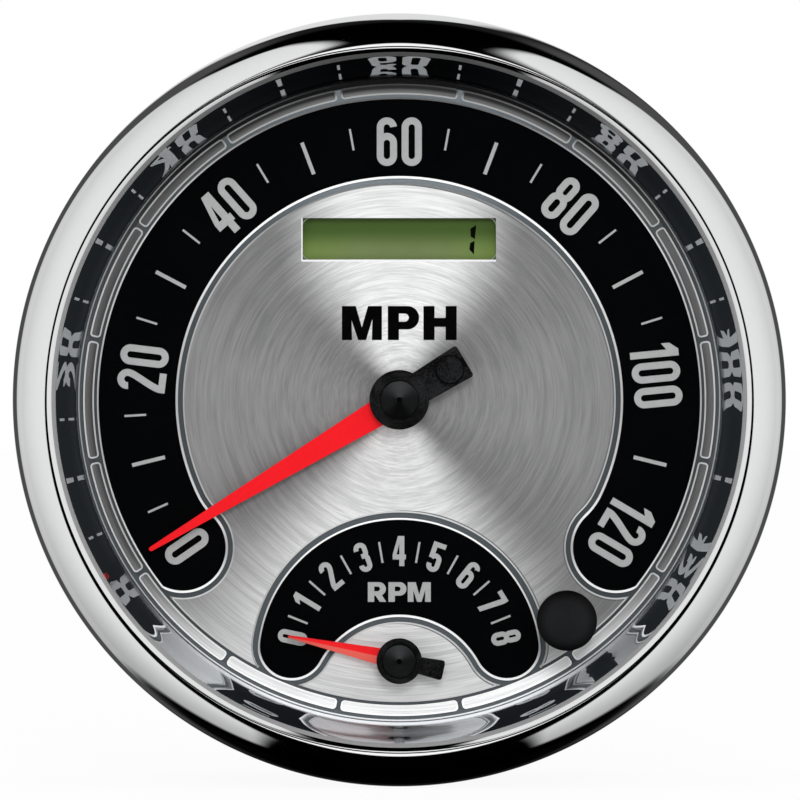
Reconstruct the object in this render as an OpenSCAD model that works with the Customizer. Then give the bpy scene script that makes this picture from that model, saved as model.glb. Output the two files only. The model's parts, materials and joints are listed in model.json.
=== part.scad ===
// Electric in-dash speedometer with a small rev counter, in millimetres.
// The instrument stands as it is used: dial towards -Y, up is +Z, and the panel's face is y = 0.
// Each piece is drawn looking at the dial (x right, y up, z towards the driver) and then stood up.

/* [Bezel and case] */
// Outside diameter of the bezel
bezel_d = 133.4; // [115:0.1:160]
// Thickness of the bezel's sheet
bezel_t = 0.9; // [0.6:0.1:1]
// Width of the bezel, from its outside to the opening inside its rolled lip
bezel_w = 6.9; // [6:0.1:9]
// Radius of the rolled lip
lip_r = 1.1; // [1:0.1:1.3]
// Height of the bezel's crest over the lens gasket
crest_h = 1.3; // [1.2:0.1:2]
// Height of the bezel's rounded shoulder
shoulder_h = 5.9; // [5:0.1:6.5]
// Reach of the bezel past the case, over the edge of the panel's hole
panel_lap = 3.6; // [3:0.1:5]
// Depth of the case behind the panel's face
case_depth = 40; // [36:1:60]
// Thickness of the case's sheet
case_t = 0.9; // [0.6:0.1:1.2]
// Radius of the bend at the back of the case
case_bend_r = 3; // [2:0.5:5]

/* [Lens and seals] */
// Reach of the lens under the bezel, past the lip's crest
lens_lap = 2.1; // [1.6:0.1:2.5]
// Thickness of the lens
lens_t = 2.5; // [1.5:0.1:3]
// Setback of the lens gasket from the bezel's opening
lens_gasket_in = 0.4; // [0.2:0.1:0.8]
// Width of the lens gasket
lens_gasket_w = 1.9; // [1:0.1:2]
// Thickness of the lens gasket
lens_gasket_t = 0.6; // [0.4:0.1:1]
// Thickness of the case gasket
case_gasket_t = 0.8; // [0.4:0.1:1.2]

/* [Reflector ring] */
// Thickness of the ring's flange
ring_flange_t = 2; // [1.2:0.1:3]
// Reach of the ring's foot inside the bezel's opening
ring_w = 4.2; // [3.6:0.1:5]
// Height of the ring's foot over the dial's face
ring_foot_h = 0.8; // [0.5:0.1:1]
// Radius of the bright edge at the top of the foot
ring_edge_r = 0.4; // [0.2:0.05:0.5]
// Lean of the wall from the axis where it leaves the foot, in degrees
ring_low_angle = 43; // [38:1:46]
// Lean of the wall from the axis in its upper half, in degrees
ring_high_angle = 31.5; // [29:0.5:33]
// Height of the curved lower half of the wall
ring_curve_h = 2.8; // [2:0.1:3.2]
// Thickness of the ring's wall
ring_wall_t = 1.2; // [0.8:0.1:1.5]

/* [Dial] */
// Depth of the dial's face behind the panel's face
dial_depth = 1.5; // [1:0.1:3]
// Thickness of the dial's brushed face and black fields
face_t = 0.3; // [0.2:0.05:0.5]
// Thickness of the dial's base plate
base_t = 0.8; // [0.5:0.1:1.5]
// Gap between the dial's base plate and the case
base_gap = 1.6; // [0.5:0.1:3]
// Gap between the brushed field and the rim segments
face_gap = 0.6; // [0.3:0.1:1]
// Width of the slate channel round each black field
channel_w = 1.28; // [0.8:0.02:1.6]
// Diameter of the dial's hole for each pointer spindle
spindle_hole_d = 3.2; // [2.4:0.1:4]
// Number of rim segments
segments = 16; // [8:1:24]
// Gap between the rim segments and the reflector ring's foot
segment_edge = 0.9; // [0.5:0.1:1.5]
// Width of the rim segments
segment_w = 1.7; // [1.2:0.1:2.5]
// Gap between segments, along the rim
segment_gap = 0.9; // [0.5:0.1:2]
// Radius of the segments' corners
segment_corner_r = 0.55; // [0.3:0.05:0.6]

/* [Speed scale] */
// Gap between the black speed field and the edge of the brushed field
speed_edge = 0.3; // [0.2:0.1:1]
// Width of the black speed field
speed_w = 13.3; // [11:0.1:15]
// Angle from the top to the centre of the field's round ends, in degrees
speed_end_angle = 124.3; // [120:0.1:126]
// Swell of the field's round ends past its half width
speed_swell = 0.79; // [0.4:0.01:1.2]
// Radius of the sweep from a round end into the inner arc
speed_sweep_r = 12; // [8:0.5:16]

/* [Rev scale] */
// Distance of the rev pointer's axis inside the speed field's outer circle
rev_in = 7; // [6:0.1:9]
// Radius of the black rev field about the rev pointer's axis
rev_out_r = 24.3; // [23:0.1:25]
// Radius of the field's round ends
rev_lobe_r = 5.5; // [4.5:0.1:6]
// Distance below the rev pointer's axis of the centre of the arch under the field
rev_arch_drop = 7.9; // [7:0.1:9]

/* [Pointers] */
// Radius of the pointer spindles
spindle_r = 0.75; // [0.6:0.05:0.9]
// Running clearance of a spindle in its bushes
spindle_clear = 0.03; // [0.02:0.01:0.08]
// Gap between the dial's face and the pointer blades
blade_gap = 1.8; // [1:0.1:2.2]
// Thickness of the pointer blades
blade_t = 0.8; // [0.5:0.1:1]
// Height of the pointer hubs over their blades
hub_h = 2.2; // [1.6:0.1:2.4]
// Height of the cone on each hub
hub_cone_h = 0.4; // [0.2:0.05:0.5]
// Height of the hubs' tails over their blades
tail_h = 1.5; // [1:0.1:2]
// Resting heading of the speed pointer, clockwise from the top, in degrees
speed_rest_angle = -121; // [-124:0.5:-118]
// Gap between the speed pointer's tip and the outer edge of its field
speed_tip_gap = 1.7; // [1:0.1:4]
// Width of the speed pointer at its axis
speed_blade_w = 5; // [4:0.1:6]
// Width of the speed pointer at its tip
speed_tip_w = 0.8; // [0.6:0.1:1.2]
// Diameter of the speed pointer's hub
speed_hub_d = 10.3; // [9:0.1:12]
// Diameter of the cone on the speed pointer's hub
speed_cone_d = 6.5; // [5:0.1:7]
// Length of the speed pointer's tail from its axis
speed_tail_l = 13.2; // [12:0.1:14]
// Width of the speed pointer's tail
speed_tail_w = 6.1; // [5.6:0.1:7]
// Wall of the speed pointer's tail round its balance weight
weight_wall = 0.5; // [0.3:0.1:1]
// Height of the balance weight, half of it sunk in the tail
weight_h = 1.6; // [1:0.1:1.8]
// Resting heading of the rev pointer, clockwise from the top, in degrees
rev_rest_angle = -77.7; // [-80:0.1:-74]
// Gap between the rev pointer's tip and the outer edge of its field
rev_tip_gap = 4.6; // [3:0.1:7]
// Width of the rev pointer at its axis
rev_blade_w = 3.4; // [2.6:0.1:4]
// Width of the rev pointer at its tip
rev_tip_w = 0.5; // [0.4:0.1:1]
// Diameter of the rev pointer's hub
rev_hub_d = 7.85; // [7:0.05:9]
// Diameter of the cone on the rev pointer's hub
rev_cone_d = 5.9; // [4.5:0.1:6]
// Length of the rev pointer's tail from its axis
rev_tail_l = 7.8; // [6:0.1:9]
// Width of the rev pointer's tail
rev_tail_w = 3.2; // [2:0.1:4]

/* [Odometer window] */
// Width of the window in the dial
window_w = 33.5; // [30:0.1:36]
// Height of the window in the dial
window_h = 7.2; // [6:0.1:8]
// Distance of the window's centre inside the speed field's inner circle
window_in = 10.9; // [10:0.1:12]
// Corner radius of the opening in the glass's holder
holder_corner_r = 1.6; // [1:0.1:2]
// Thickness of the holder's front
holder_t = 0.9; // [0.5:0.1:1.2]
// Wall of the holder round the glass
holder_wall = 1.5; // [1:0.1:2]
// Margin of the glass round the window, on each side
glass_margin = 1.8; // [1:0.1:2.5]
// Thickness of the liquid crystal glass
glass_t = 1.9; // [1.4:0.1:2.4]
// Thickness of the backlight behind the glass
backlight_t = 3; // [2:0.1:4]
// Pins along each long edge of the glass
glass_pins = 12; // [6:1:16]
// Diameter of those pins
glass_pin_d = 0.5; // [0.4:0.05:0.7]

/* [Trip button] */
// Heading of the button from the dial's centre, clockwise from the top, in degrees
button_angle = 142.8; // [141:0.1:144]
// Distance of the button's axis inside the edge of the brushed field
button_in = 4.95; // [4:0.05:6]
// Diameter of the button's cap
cap_d = 10.3; // [9:0.1:11]
// Height of the cap's side
cap_side_h = 2; // [1.5:0.1:3]
// Height of the cap's dome over its side
cap_dome_h = 1.9; // [1:0.1:2.5]
// Wall of the cap's hollow skirt
cap_wall = 0.7; // [0.5:0.1:0.8]
// Depth of the cap's hollow
cap_hollow = 2; // [1.5:0.1:2.2]
// Travel of the button
button_travel = 0.8; // [0.4:0.1:1]
// Gap left under the cap when it is pressed home
cap_gap = 0.4; // [0.3:0.1:1]
// Diameter of the stem
stem_d = 4; // [3:0.1:4.4]
// Sliding clearance of the stem in its bush
stem_clear = 0.04; // [0.02:0.01:0.05]
// Wall of the bush's barrel
bush_wall = 1.06; // [0.8:0.02:1.2]
// Clearance of the bush's flange inside the cap
flange_clear = 0.35; // [0.3:0.05:0.6]
// Thickness of the bush's flange
bush_flange_t = 0.7; // [0.5:0.1:0.8]
// Length of the bush behind the lens
bush_tail = 1.2; // [1:0.1:1.6]
// Thickness of the two clips
clip_t = 0.6; // [0.4:0.1:0.8]
// Width of the ring of the clip that holds the bush
clip_w = 1.3; // [0.8:0.1:1.6]
// Wall of the trip switch's body round its plunger
switch_wall = 1.3; // [1:0.1:2]
// Height of the trip switch's body
switch_h = 3.5; // [3:0.1:5]
// Diameter of the switch's plunger
plunger_d = 3.5; // [3:0.1:4]
// Height of the plunger over the switch's body
plunger_up = 1.4; // [1.2:0.1:2]

/* [Chassis and board] */
// Thickness of the light guide
guide_t = 2.4; // [1.5:0.1:3]
// Setback of the light guide's edge from that of the dial's base plate
guide_in = 0.6; // [0.3:0.1:1.5]
// Thickness of the chassis's plate
plate_t = 2.5; // [2:0.1:4]
// Gap between the chassis and the case
chassis_gap = 1.2; // [0.4:0.1:2]
// Thickness of the chassis's rim
rim_t = 1.6; // [1:0.1:2]
// Diameter of the chassis's three posts
post_d = 7; // [6:0.1:9]
// Distance of the posts' axes inside the chassis's edge
post_in = 9; // [7:0.1:12]
// Diameter of the board screw bosses
boss_d = 5.6; // [5:0.1:7]
// Distance of the bosses' axes inside the chassis's edge
boss_in = 3.6; // [3:0.1:6]
// Thickness of the circuit board
board_t = 1.6; // [1:0.1:2.4]
// Gap between the circuit board and the case
board_gap = 1.7; // [0.5:0.1:3]
// Diameter of the wells that the dial lamps shine through
well_d = 7; // [5:0.1:8]
// Angle between the speed scale's lamps, in degrees
lamp_angle = 30; // [28:1:34]
// Distance of the rev scale's lamps inside the edge of the rev field
rev_lamp_in = 4.8; // [4:0.1:6]
// Angle between the rev scale's lamps, in degrees
rev_lamp_angle = 55; // [50:1:60]
// Length of a lamp
lamp_l = 3.5; // [2.5:0.1:4]
// Width of a lamp
lamp_w = 2.8; // [2:0.1:3.5]
// Height of a lamp
lamp_h = 1.9; // [1:0.1:2.5]
// Width of the controller chip
chip_w = 12; // [8:0.5:16]
// Height of the controller chip
chip_h = 1.6; // [1:0.1:2.5]
// Width of the voltage regulator
regulator_w = 6.6; // [5:0.1:9]
// Length of the voltage regulator
regulator_l = 9; // [7:0.1:12]
// Height of the voltage regulator
regulator_h = 2.3; // [1.5:0.1:4]
// Diameter of the capacitors
capacitor_d = 8; // [6:0.5:10]
// Height of the capacitors
capacitor_h = 9; // [6:0.5:10]

/* [Movements] */
// Clearance of the coils' corners inside the shield cans
can_gap = 0.22; // [0.2:0.01:0.6]
// Thickness of the shield cans
can_t = 0.6; // [0.4:0.1:0.7]
// Thickness of the bobbins' walls round and over the rotors' chambers
bobbin_wall = 1.4; // [1:0.1:2]
// Thickness of the bobbins' flanges
bobbin_flange_t = 1.2; // [0.8:0.1:2]
// Wall of the bobbins' noses and rear bosses round the bearing bushes
nose_wall = 0.98; // [0.8:0.02:1.2]
// Wall of the bearing bushes
bearing_wall = 0.72; // [0.5:0.02:1]
// Thickness of the rear bearing bushes' closed ends
bearing_floor = 1.4; // [0.8:0.1:2]
// Thickness of the coils
coil_t = 1.4; // [1:0.1:1.6]
// Width of each half of a coil
coil_w = 2.4; // [1.5:0.1:2.6]
// Clearance of each coil half beside the bobbins' noses
coil_clear = 0.2; // [0.15:0.05:0.4]
// Diameter of the rotor magnets
magnet_d = 10.8; // [9:0.1:11]
// Thickness of the rotor magnets
magnet_t = 4; // [3:0.1:5]
// Clearance over and under a rotor magnet
magnet_clear = 0.8; // [0.4:0.1:1.2]
// Clearance round a rotor magnet
magnet_side = 0.6; // [0.4:0.1:1]

/* [Back of the case] */
// Diameter of the mounting studs
stud_d = 4.8; // [4:0.1:6]
// Length of the studs behind the case
stud_l = 20; // [12:1:30]
// Reach of the shoulder, flush with the case's back, past each stud
stud_shoulder = 0.5; // [0.3:0.1:1]
// Distance between the studs
stud_pitch = 76.2; // [60:0.1:84]
// Reach of the studs' heads inside the case past the shoulders
stud_head_w = 1.6; // [1:0.1:3]
// Thickness of the studs' heads
stud_head_t = 1.2; // [0.8:0.1:2]
// Diameter of the case screws
screw_d = 3; // [2.5:0.1:3.5]
// Diameter of the case screws' heads
screw_head_d = 5.6; // [5:0.1:7]
// Height of the case screws' heads
screw_head_h = 1.8; // [1.2:0.1:2.6]
// Length of the case screws in the posts
screw_l = 8; // [5:0.5:10]
// Diameter of the board screws
board_screw_d = 2; // [1.6:0.1:2.5]
// Diameter of the board screws' heads
board_screw_head_d = 4; // [3:0.1:5]
// Height of the board screws' heads
board_screw_head_h = 1.4; // [1:0.1:2]
// Length of the board screws in the bosses
board_screw_l = 6; // [4:0.5:10]
// Width of the harness socket's shroud
socket_w = 25; // [22:0.5:30]
// Height of the harness socket's shroud
socket_h = 11; // [10:0.5:14]
// Wall of the shroud
socket_wall = 1.3; // [1:0.1:2]
// Reach of the shroud behind the case
socket_out = 8; // [6:0.5:12]
// Depth of the shroud's cavity
socket_cavity = 13; // [11:0.5:16]
// Height of the socket's centre over the case's centre
socket_up = 30; // [27:0.5:32]
// Reach of the socket's inner flange past the shroud
socket_flange = 2; // [1:0.1:3]
// Thickness of the socket's inner flange
socket_flange_t = 2; // [1:0.1:3]
// Number of contact pins in each of the socket's two rows
socket_pins_row = 5; // [3:1:6]
// Distance between the pins
socket_pitch = 4; // [3.5:0.1:4.2]
// Diameter of the pins
socket_pin_d = 1; // [0.6:0.1:1.4]
// Height of the pins in the cavity
socket_pin_h = 5.5; // [4:0.5:6]

/* [Hidden] */
$fn = 72;

// Clearances
slip = 0.02;      // a piece fixed on its pin or in its hole
ease = 0.3;       // pieces that must not touch
hole_ease = 0.15; // a screw, stud or pin through a plain hole
cut = 1;          // how far a cutting shape runs past the face it opens
arc_steps = 16;   // points along each arc of an outline

// Counts
post_count = 3;
boss_count = 4;
lamp_count = 8;
rev_lamp_count = 3;

// Radii
bezel_r = bezel_d / 2;
opening_r = bezel_r - bezel_w;
crest_r = opening_r + lip_r;
case_r = bezel_r - panel_lap;
case_in_r = case_r - case_t;
flange_r = bezel_r - bezel_t - ease;
foot_r = opening_r - ring_w;
base_r = case_in_r - base_gap;
segment_out_r = foot_r - segment_edge;
segment_in_r = segment_out_r - segment_w;
face_r = segment_in_r - face_gap;
speed_out_r = face_r - speed_edge;
speed_in_r = speed_out_r - speed_w;
speed_mid_r = speed_out_r - speed_w / 2;
speed_lobe_r = speed_w / 2 + speed_swell;
chassis_r = case_in_r - chassis_gap;
stud_shoulder_d = stud_d + 2 * stud_shoulder;

// Sizes of the pointers, the trip button's pieces and the movements
speed_blade_l = speed_out_r - speed_tip_gap;
rev_blade_l = rev_out_r - rev_tip_gap;
weight_d = speed_tail_w - 2 * weight_wall;
weight_at = speed_tail_l - speed_tail_w / 2;
bush_d = stem_d + 2 * (stem_clear + bush_wall);
bush_flange_d = cap_d - 2 * (cap_wall + flange_clear);
bearing_d = 2 * (spindle_r + spindle_clear + bearing_wall);
nose_d = bearing_d + 2 * (slip + nose_wall);
chamber_d = magnet_d + 2 * magnet_side;
bobbin_d = chamber_d + 2 * bobbin_wall;
coil_gap = 0.1;
coil_in = nose_d / 2 + coil_clear;
coil_reach = norm([coil_in + coil_w, bobbin_d / 2 + 2 * (coil_t + coil_gap)]);
can_d = 2 * (coil_reach + can_gap + can_t);

// Levels, counted from the panel's face towards the driver
flange_z = bezel_t;
gasket_z = flange_z + case_t;
ring_flange_z = gasket_z + case_gasket_t;
lens_z = ring_flange_z + ring_flange_t;
lens_front_z = lens_z + lens_t;
lip_z = lens_front_z + lens_gasket_t;
crest_z = lip_z + crest_h;
face_z = -dial_depth;
base_z = face_z - face_t;
guide_z = base_z - base_t;
plate_z = guide_z - guide_t;
movement_z = plate_z - plate_t;
floor_z = case_t - case_depth;
blade_z = face_z + blade_gap;
hub_z = blade_z + blade_t;

// Levels inside a movement, counted backwards from the chassis's plate
chamber_h = magnet_t + 2 * magnet_clear;
neck_w = bobbin_flange_t;
body_w = neck_w + 2 * (coil_t + coil_gap);
chamber_w = body_w + bobbin_wall;
chamber_end_w = chamber_w + chamber_h;
body_end_w = chamber_end_w + bobbin_wall;
can_floor_w = body_end_w + 2 * (coil_t + coil_gap) + coil_gap;
board_z = movement_z - can_floor_w - can_t;
board_back_z = board_z - board_t;
spindle_z = movement_z - can_floor_w + bearing_floor + spindle_clear;

// Places on the dial
speed_axis = [0, 0];
rev_axis = [0, rev_in - speed_out_r];
button_at = cw(face_r - button_in, button_angle);
window_at = [0, speed_in_r - window_in];
glass_w = window_w + 2 * glass_margin;
glass_h = window_h + 2 * glass_margin;
holder_w = glass_w + 2 * holder_wall;
holder_h = glass_h + 2 * holder_wall;
holder_z = guide_z - slip;
glass_z = holder_z - holder_t;
post_at = [for (i = [0:post_count - 1]) cw(chassis_r - post_in, i * 360 / post_count)];
boss_at = [for (i = [0:boss_count - 1]) cw(chassis_r - boss_in, (i + 0.5) * 360 / boss_count)];
lamp_at = concat(
    [for (i = [0:lamp_count - 1]) cw(speed_mid_r, (i - (lamp_count - 1) / 2) * lamp_angle)],
    [for (i = [0:rev_lamp_count - 1])
        rev_axis + cw(rev_out_r - rev_lamp_in, (i - (rev_lamp_count - 1) / 2) * rev_lamp_angle)]);
socket_at = [0, socket_up];
chip_at = [30, 14];
regulator_at = [-32, 8];
capacitor_at = [[-30, 28], [30, 32]];

// Trip button levels
bush_front_z = lens_front_z + bush_flange_t;
cap_z = lens_front_z + cap_gap + button_travel;
cap_top_z = cap_z + cap_side_h;
plunger_z = board_z + switch_h + plunger_up;
plunger_in = 2 * button_travel;
stem_clip_z = lens_z - bush_tail - slip - clip_t;

// A point at radius r and d degrees clockwise from the top
function cw(r, d) = [r * sin(d), r * cos(d)];
// The heading of a vector, clockwise from the top
function heading(v) = atan2(v[0], v[1]);
// Points of an arc about c from heading d0 up to, but not at, heading d1
function arc(c, r, d0, d1, n = arc_steps) =
    [for (i = [0:n - 1]) c + cw(r, d0 + (d1 - d0) * i / n)];
// A right half of an outline, from its top to its bottom, joined to its mirror image
function both_sides(half) =
    concat(half, [for (i = [len(half) - 1:-1:0]) if (half[i][0] > 0.0001) [-half[i][0], half[i][1]]]);

// Outline of the black speed field, grown by g all round
function speed_outline(g) = let (
    out = speed_out_r,
    in = speed_in_r,
    at = speed_mid_r,
    lobe = cw(at, speed_end_angle),
    over = acos((pow(out + g, 2) + at * at - pow(speed_lobe_r + g, 2)) / (2 * (out + g) * at)),
    sweep_at = in - speed_sweep_r,
    reach = speed_lobe_r + speed_sweep_r,
    back = acos((sweep_at * sweep_at + at * at - reach * reach) / (2 * sweep_at * at)),
    sweep = cw(sweep_at, speed_end_angle - back),
    from = heading(cw(out + g, speed_end_angle + over) - lobe),
    to = heading(sweep - lobe) + 360)
    both_sides(concat(
        arc([0, 0], out + g, 0, speed_end_angle + over, 3 * arc_steps),
        arc(lobe, speed_lobe_r + g, from, to),
        arc(sweep, speed_sweep_r - g, to - 180, speed_end_angle - back),
        arc([0, 0], in - g, speed_end_angle - back, 0, 3 * arc_steps),
        [[0, in - g]]));

// Outline of the black rev field, grown by g all round; its arch runs into the round ends
function rev_outline(g) = let (
    rim = speed_out_r - rev_lobe_r,
    swing = rev_out_r - rev_lobe_r,
    drop = -rev_axis[1],
    lobe_y = (swing * swing - rim * rim - drop * drop) / (2 * drop),
    lobe = [sqrt(rim * rim - lobe_y * lobe_y), lobe_y],
    arch = rev_axis - [0, rev_arch_drop],
    across = arch - lobe,
    arch_r = norm(across) - rev_lobe_r,
    from = heading(lobe - rev_axis),
    to = heading(across) + 360)
    both_sides(concat(
        arc(rev_axis, rev_out_r + g, 0, from, 2 * arc_steps),
        arc(lobe, rev_lobe_r + g, from, to),
        arc(arch, arch_r - g, to - 180, 0, 2 * arc_steps),
        [arch + [0, arch_r - g]]));

// Outline of one rim segment, centred at the top
function segment_outline() = let (
    out = segment_out_r,
    in = segment_in_r,
    c = segment_corner_r,
    half = 180 / segments - asin(segment_gap / (out + in)),
    top = half - asin(c / (out - c)),
    foot = half - asin(c / (in + c)))
    both_sides(concat(
        arc([0, 0], out, 0, top),
        arc(cw(out - c, top), c, top, half + 90, 6),
        arc(cw(in + c, foot), c, half + 90, foot + 180, 6),
        arc([0, 0], in, foot, 0),
        [[0, in]]));

// Half of a pointer blade's outline, from its tip at the top to its axis
function blade_outline(l, w, tip_w) =
    both_sides(concat(
        arc([0, l - tip_w / 2], tip_w / 2, 0, 90, 6),
        [[tip_w / 2, l - tip_w / 2], [w / 2, 0], [0, 0]]));

// Stands a piece up as the instrument is used
module stood_up() rotate([90, 0, 0]) children();

// A disc or plug of height h from level z
module disc(at, d, z, h) translate([at[0], at[1], z]) cylinder(d = d, h = h);

// A box centred at a place on the dial, of height h from level z
module block(at, w, l, z, h) translate([at[0] - w / 2, at[1] - l / 2, z]) cube([w, l, h]);

// A box with rounded corners, of height h from level z
module round_block(at, w, l, r, z, h) {
    block(at, w - 2 * r, l, z, h);
    block(at, w, l - 2 * r, z, h);
    for (x = [-1, 1], y = [-1, 1])
        disc(at + [x * (w / 2 - r), y * (l / 2 - r)], 2 * r, z, h);
}

// A plate cut to an outline
module plate(points, z, h) translate([0, 0, z]) linear_extrude(h) polygon(points);

// Chrome ring with a rounded shoulder, rolled over the case's flange behind and the lens in front
module bezel() color("gainsboro") stood_up() {
    shoulder_z = crest_z - shoulder_h;
    shoulder_w = bezel_r - crest_r;
    edge_r = bezel_t / 2;
    lip_in_r = lip_r - bezel_t;
    rolled_r = case_r + bezel_t + hole_ease;
    steps = 2 * arc_steps;
    outside = concat(
        [[rolled_r, 0], [bezel_r - edge_r, 0]],
        [for (i = [1:6]) [bezel_r - edge_r + edge_r * sin(15 * i), edge_r - edge_r * cos(15 * i)]],
        [for (i = [0:steps - 1]) let (a = 90 * i / steps)
            [crest_r + shoulder_w * cos(a), shoulder_z + shoulder_h * sin(a)]],
        [for (i = [0:8]) [crest_r - lip_r * sin(90 * i / 8), crest_z - lip_r + lip_r * cos(90 * i / 8)]],
        [[opening_r, lip_z]]);
    inside = concat(
        [[opening_r + bezel_t, lip_z], [opening_r + bezel_t, crest_z - lip_r]],
        [for (i = [1:8]) let (a = 90 * i / 8)
            [crest_r - lip_in_r * cos(a), crest_z - lip_r + lip_in_r * sin(a)]],
        [for (i = [steps - 1:-1:0]) let (a = 90 * i / steps)
            [crest_r + (shoulder_w - bezel_t) * cos(a), shoulder_z + (shoulder_h - bezel_t) * sin(a)]],
        [[bezel_r - bezel_t, flange_z], [rolled_r, flange_z]]);
    rotate_extrude() polygon(concat(outside, inside));
}

// Clear disc with a hole for the trip button's bush
module lens() color("lightcyan", 0.35) stood_up() difference() {
    disc([0, 0], 2 * (crest_r + lens_lap), lens_z, lens_t);
    disc(button_at, bush_d + 2 * slip, lens_z - cut, lens_t + 2 * cut);
}

// Flat ring between the lens and the bezel's lip
module lens_gasket() color("black") stood_up() difference() {
    in_r = opening_r + lens_gasket_in;
    disc([0, 0], 2 * (in_r + lens_gasket_w), lens_front_z, lens_gasket_t);
    disc([0, 0], 2 * in_r, lens_front_z - cut, lens_gasket_t + 2 * cut);
}

// Flat ring between the case's flange and the reflector ring
module case_gasket() color("black") stood_up() difference() {
    disc([0, 0], 2 * flange_r - 2 * ease, gasket_z, case_gasket_t);
    disc([0, 0], 2 * case_in_r, gasket_z - cut, case_gasket_t + 2 * cut);
}

// Bright concave wall from the dial up to the lens, with a flange on the case gasket
module reflector_ring() color("silver") stood_up() {
    wall_z = face_z + ring_foot_h;
    steps = arc_steps;
    edge_z = wall_z - ring_edge_r * sin(ring_low_angle);
    edge = [for (i = [0:5]) let (a = ring_low_angle * i / 6)
            [foot_r + ring_edge_r * (1 - cos(a)), edge_z + ring_edge_r * sin(a)]];
    // Above the edge the wall leans less and less, one short step after another
    lean_step = (ring_low_angle - ring_high_angle) / steps;
    rise = ring_curve_h / steps;
    low = [for (i = 0, r = foot_r + ring_edge_r * (1 - cos(ring_low_angle)); i <= steps;
                r = r + rise * tan(ring_low_angle - (i + 0.5) * lean_step), i = i + 1)
           [r, wall_z + i * rise]];
    top_r = low[steps][0] + (lens_z - wall_z - ring_curve_h) * tan(ring_high_angle);
    rotate_extrude() polygon(concat(
        [[foot_r, base_z]], edge, low,
        [[top_r, lens_z], [flange_r - ease, lens_z], [flange_r - ease, ring_flange_z],
         [case_in_r - ease, ring_flange_z], [low[steps][0] + ring_wall_t, wall_z + ring_curve_h],
         [foot_r + ring_wall_t, base_z]]));
}

// Drawn cup with a flange in front, and holes in its back for studs, screws and socket
module case_cup() color("lightgray") stood_up() difference() {
    bend = case_bend_r;
    rotate_extrude() polygon(concat(
        [[0, -case_depth], [case_r - bend, -case_depth]],
        [for (i = [1:8]) [case_r - bend + bend * sin(90 * i / 8),
                          bend - case_depth - bend * cos(90 * i / 8)]],
        [[case_r, 0], [case_r + bezel_t, flange_z], [flange_r, flange_z], [flange_r, gasket_z],
         [case_in_r, gasket_z]],
        [for (i = [8:-1:0]) [case_r - bend + (bend - case_t) * sin(90 * i / 8),
                             bend - case_depth - (bend - case_t) * cos(90 * i / 8)]],
        [[0, floor_z]]));
    for (x = [-1, 1])
        disc([x * stud_pitch / 2, 0], stud_shoulder_d + 2 * slip, -case_depth - cut, case_t + 2 * cut);
    for (at = post_at)
        disc(at, screw_d + 2 * hole_ease, -case_depth - cut, case_t + 2 * cut);
    block(socket_at, socket_w + 2 * hole_ease, socket_h + 2 * hole_ease,
          -case_depth - cut, case_t + 2 * cut);
}

// Two studs, each with a shoulder in the case's back and a flat head inside it
module mounting_studs() color("gold") stood_up()
    for (x = [-1, 1]) {
        at = [x * stud_pitch / 2, 0];
        disc(at, stud_d, -case_depth - stud_l, stud_l);
        disc(at, stud_shoulder_d, -case_depth, case_t);
        disc(at, stud_shoulder_d + 2 * stud_head_w, floor_z, stud_head_t);
    }

// Three screws through the case's back into the chassis's posts
module case_screws() color("silver") stood_up()
    for (at = post_at) {
        disc(at, screw_head_d, -case_depth - screw_head_h, screw_head_h);
        disc(at, screw_d, -case_depth, case_t + screw_l);
    }

// Holes that the dial's plates share: pointer spindles, trip button stem and odometer window
module dial_holes(z, h) {
    for (at = [speed_axis, rev_axis])
        disc(at, spindle_hole_d, z, h);
    disc(button_at, stem_d + 2 * ease, z, h);
    block(window_at, window_w, window_h, z, h);
}

// Slate grey plate that carries the brushed and black fields
module dial_base() color("slategray") stood_up() difference() {
    disc([0, 0], 2 * base_r, base_z - base_t, base_t);
    dial_holes(base_z - base_t - cut, base_t + 2 * cut);
}

// Brushed metal: the main field, the field under the arch and the rim segments
module dial_face() color("lightgray") stood_up() {
    difference() {
        disc([0, 0], 2 * face_r, base_z, face_t);
        plate(speed_outline(channel_w), base_z - cut, face_t + 2 * cut);
        plate(rev_outline(channel_w), base_z - cut, face_t + 2 * cut);
        dial_holes(base_z - cut, face_t + 2 * cut);
    }
    for (i = [0:segments - 1])
        rotate([0, 0, i * 360 / segments]) plate(segment_outline(), base_z, face_t);
}

// Black field of the speed scale
module speed_scale() color("black") stood_up() difference() {
    plate(speed_outline(0), base_z, face_t);
    dial_holes(base_z - cut, face_t + 2 * cut);
}

// Black field of the rev scale
module rev_scale() color("black") stood_up() difference() {
    plate(rev_outline(0), base_z, face_t);
    dial_holes(base_z - cut, face_t + 2 * cut);
}

// Clear plate behind the dial that spreads the lamps' light
module light_guide() color("aliceblue", 0.6) stood_up() difference() {
    disc([0, 0], 2 * (base_r - guide_in), plate_z, guide_t);
    for (at = [speed_axis, rev_axis])
        disc(at, nose_d + 2 * hole_ease, plate_z - cut, guide_t + 2 * cut);
    disc(button_at, stem_d + 2 * ease, plate_z - cut, guide_t + 2 * cut);
    block(window_at, holder_w + 2 * hole_ease, holder_h + 2 * hole_ease,
          plate_z - cut, guide_t + 2 * cut);
}

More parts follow.
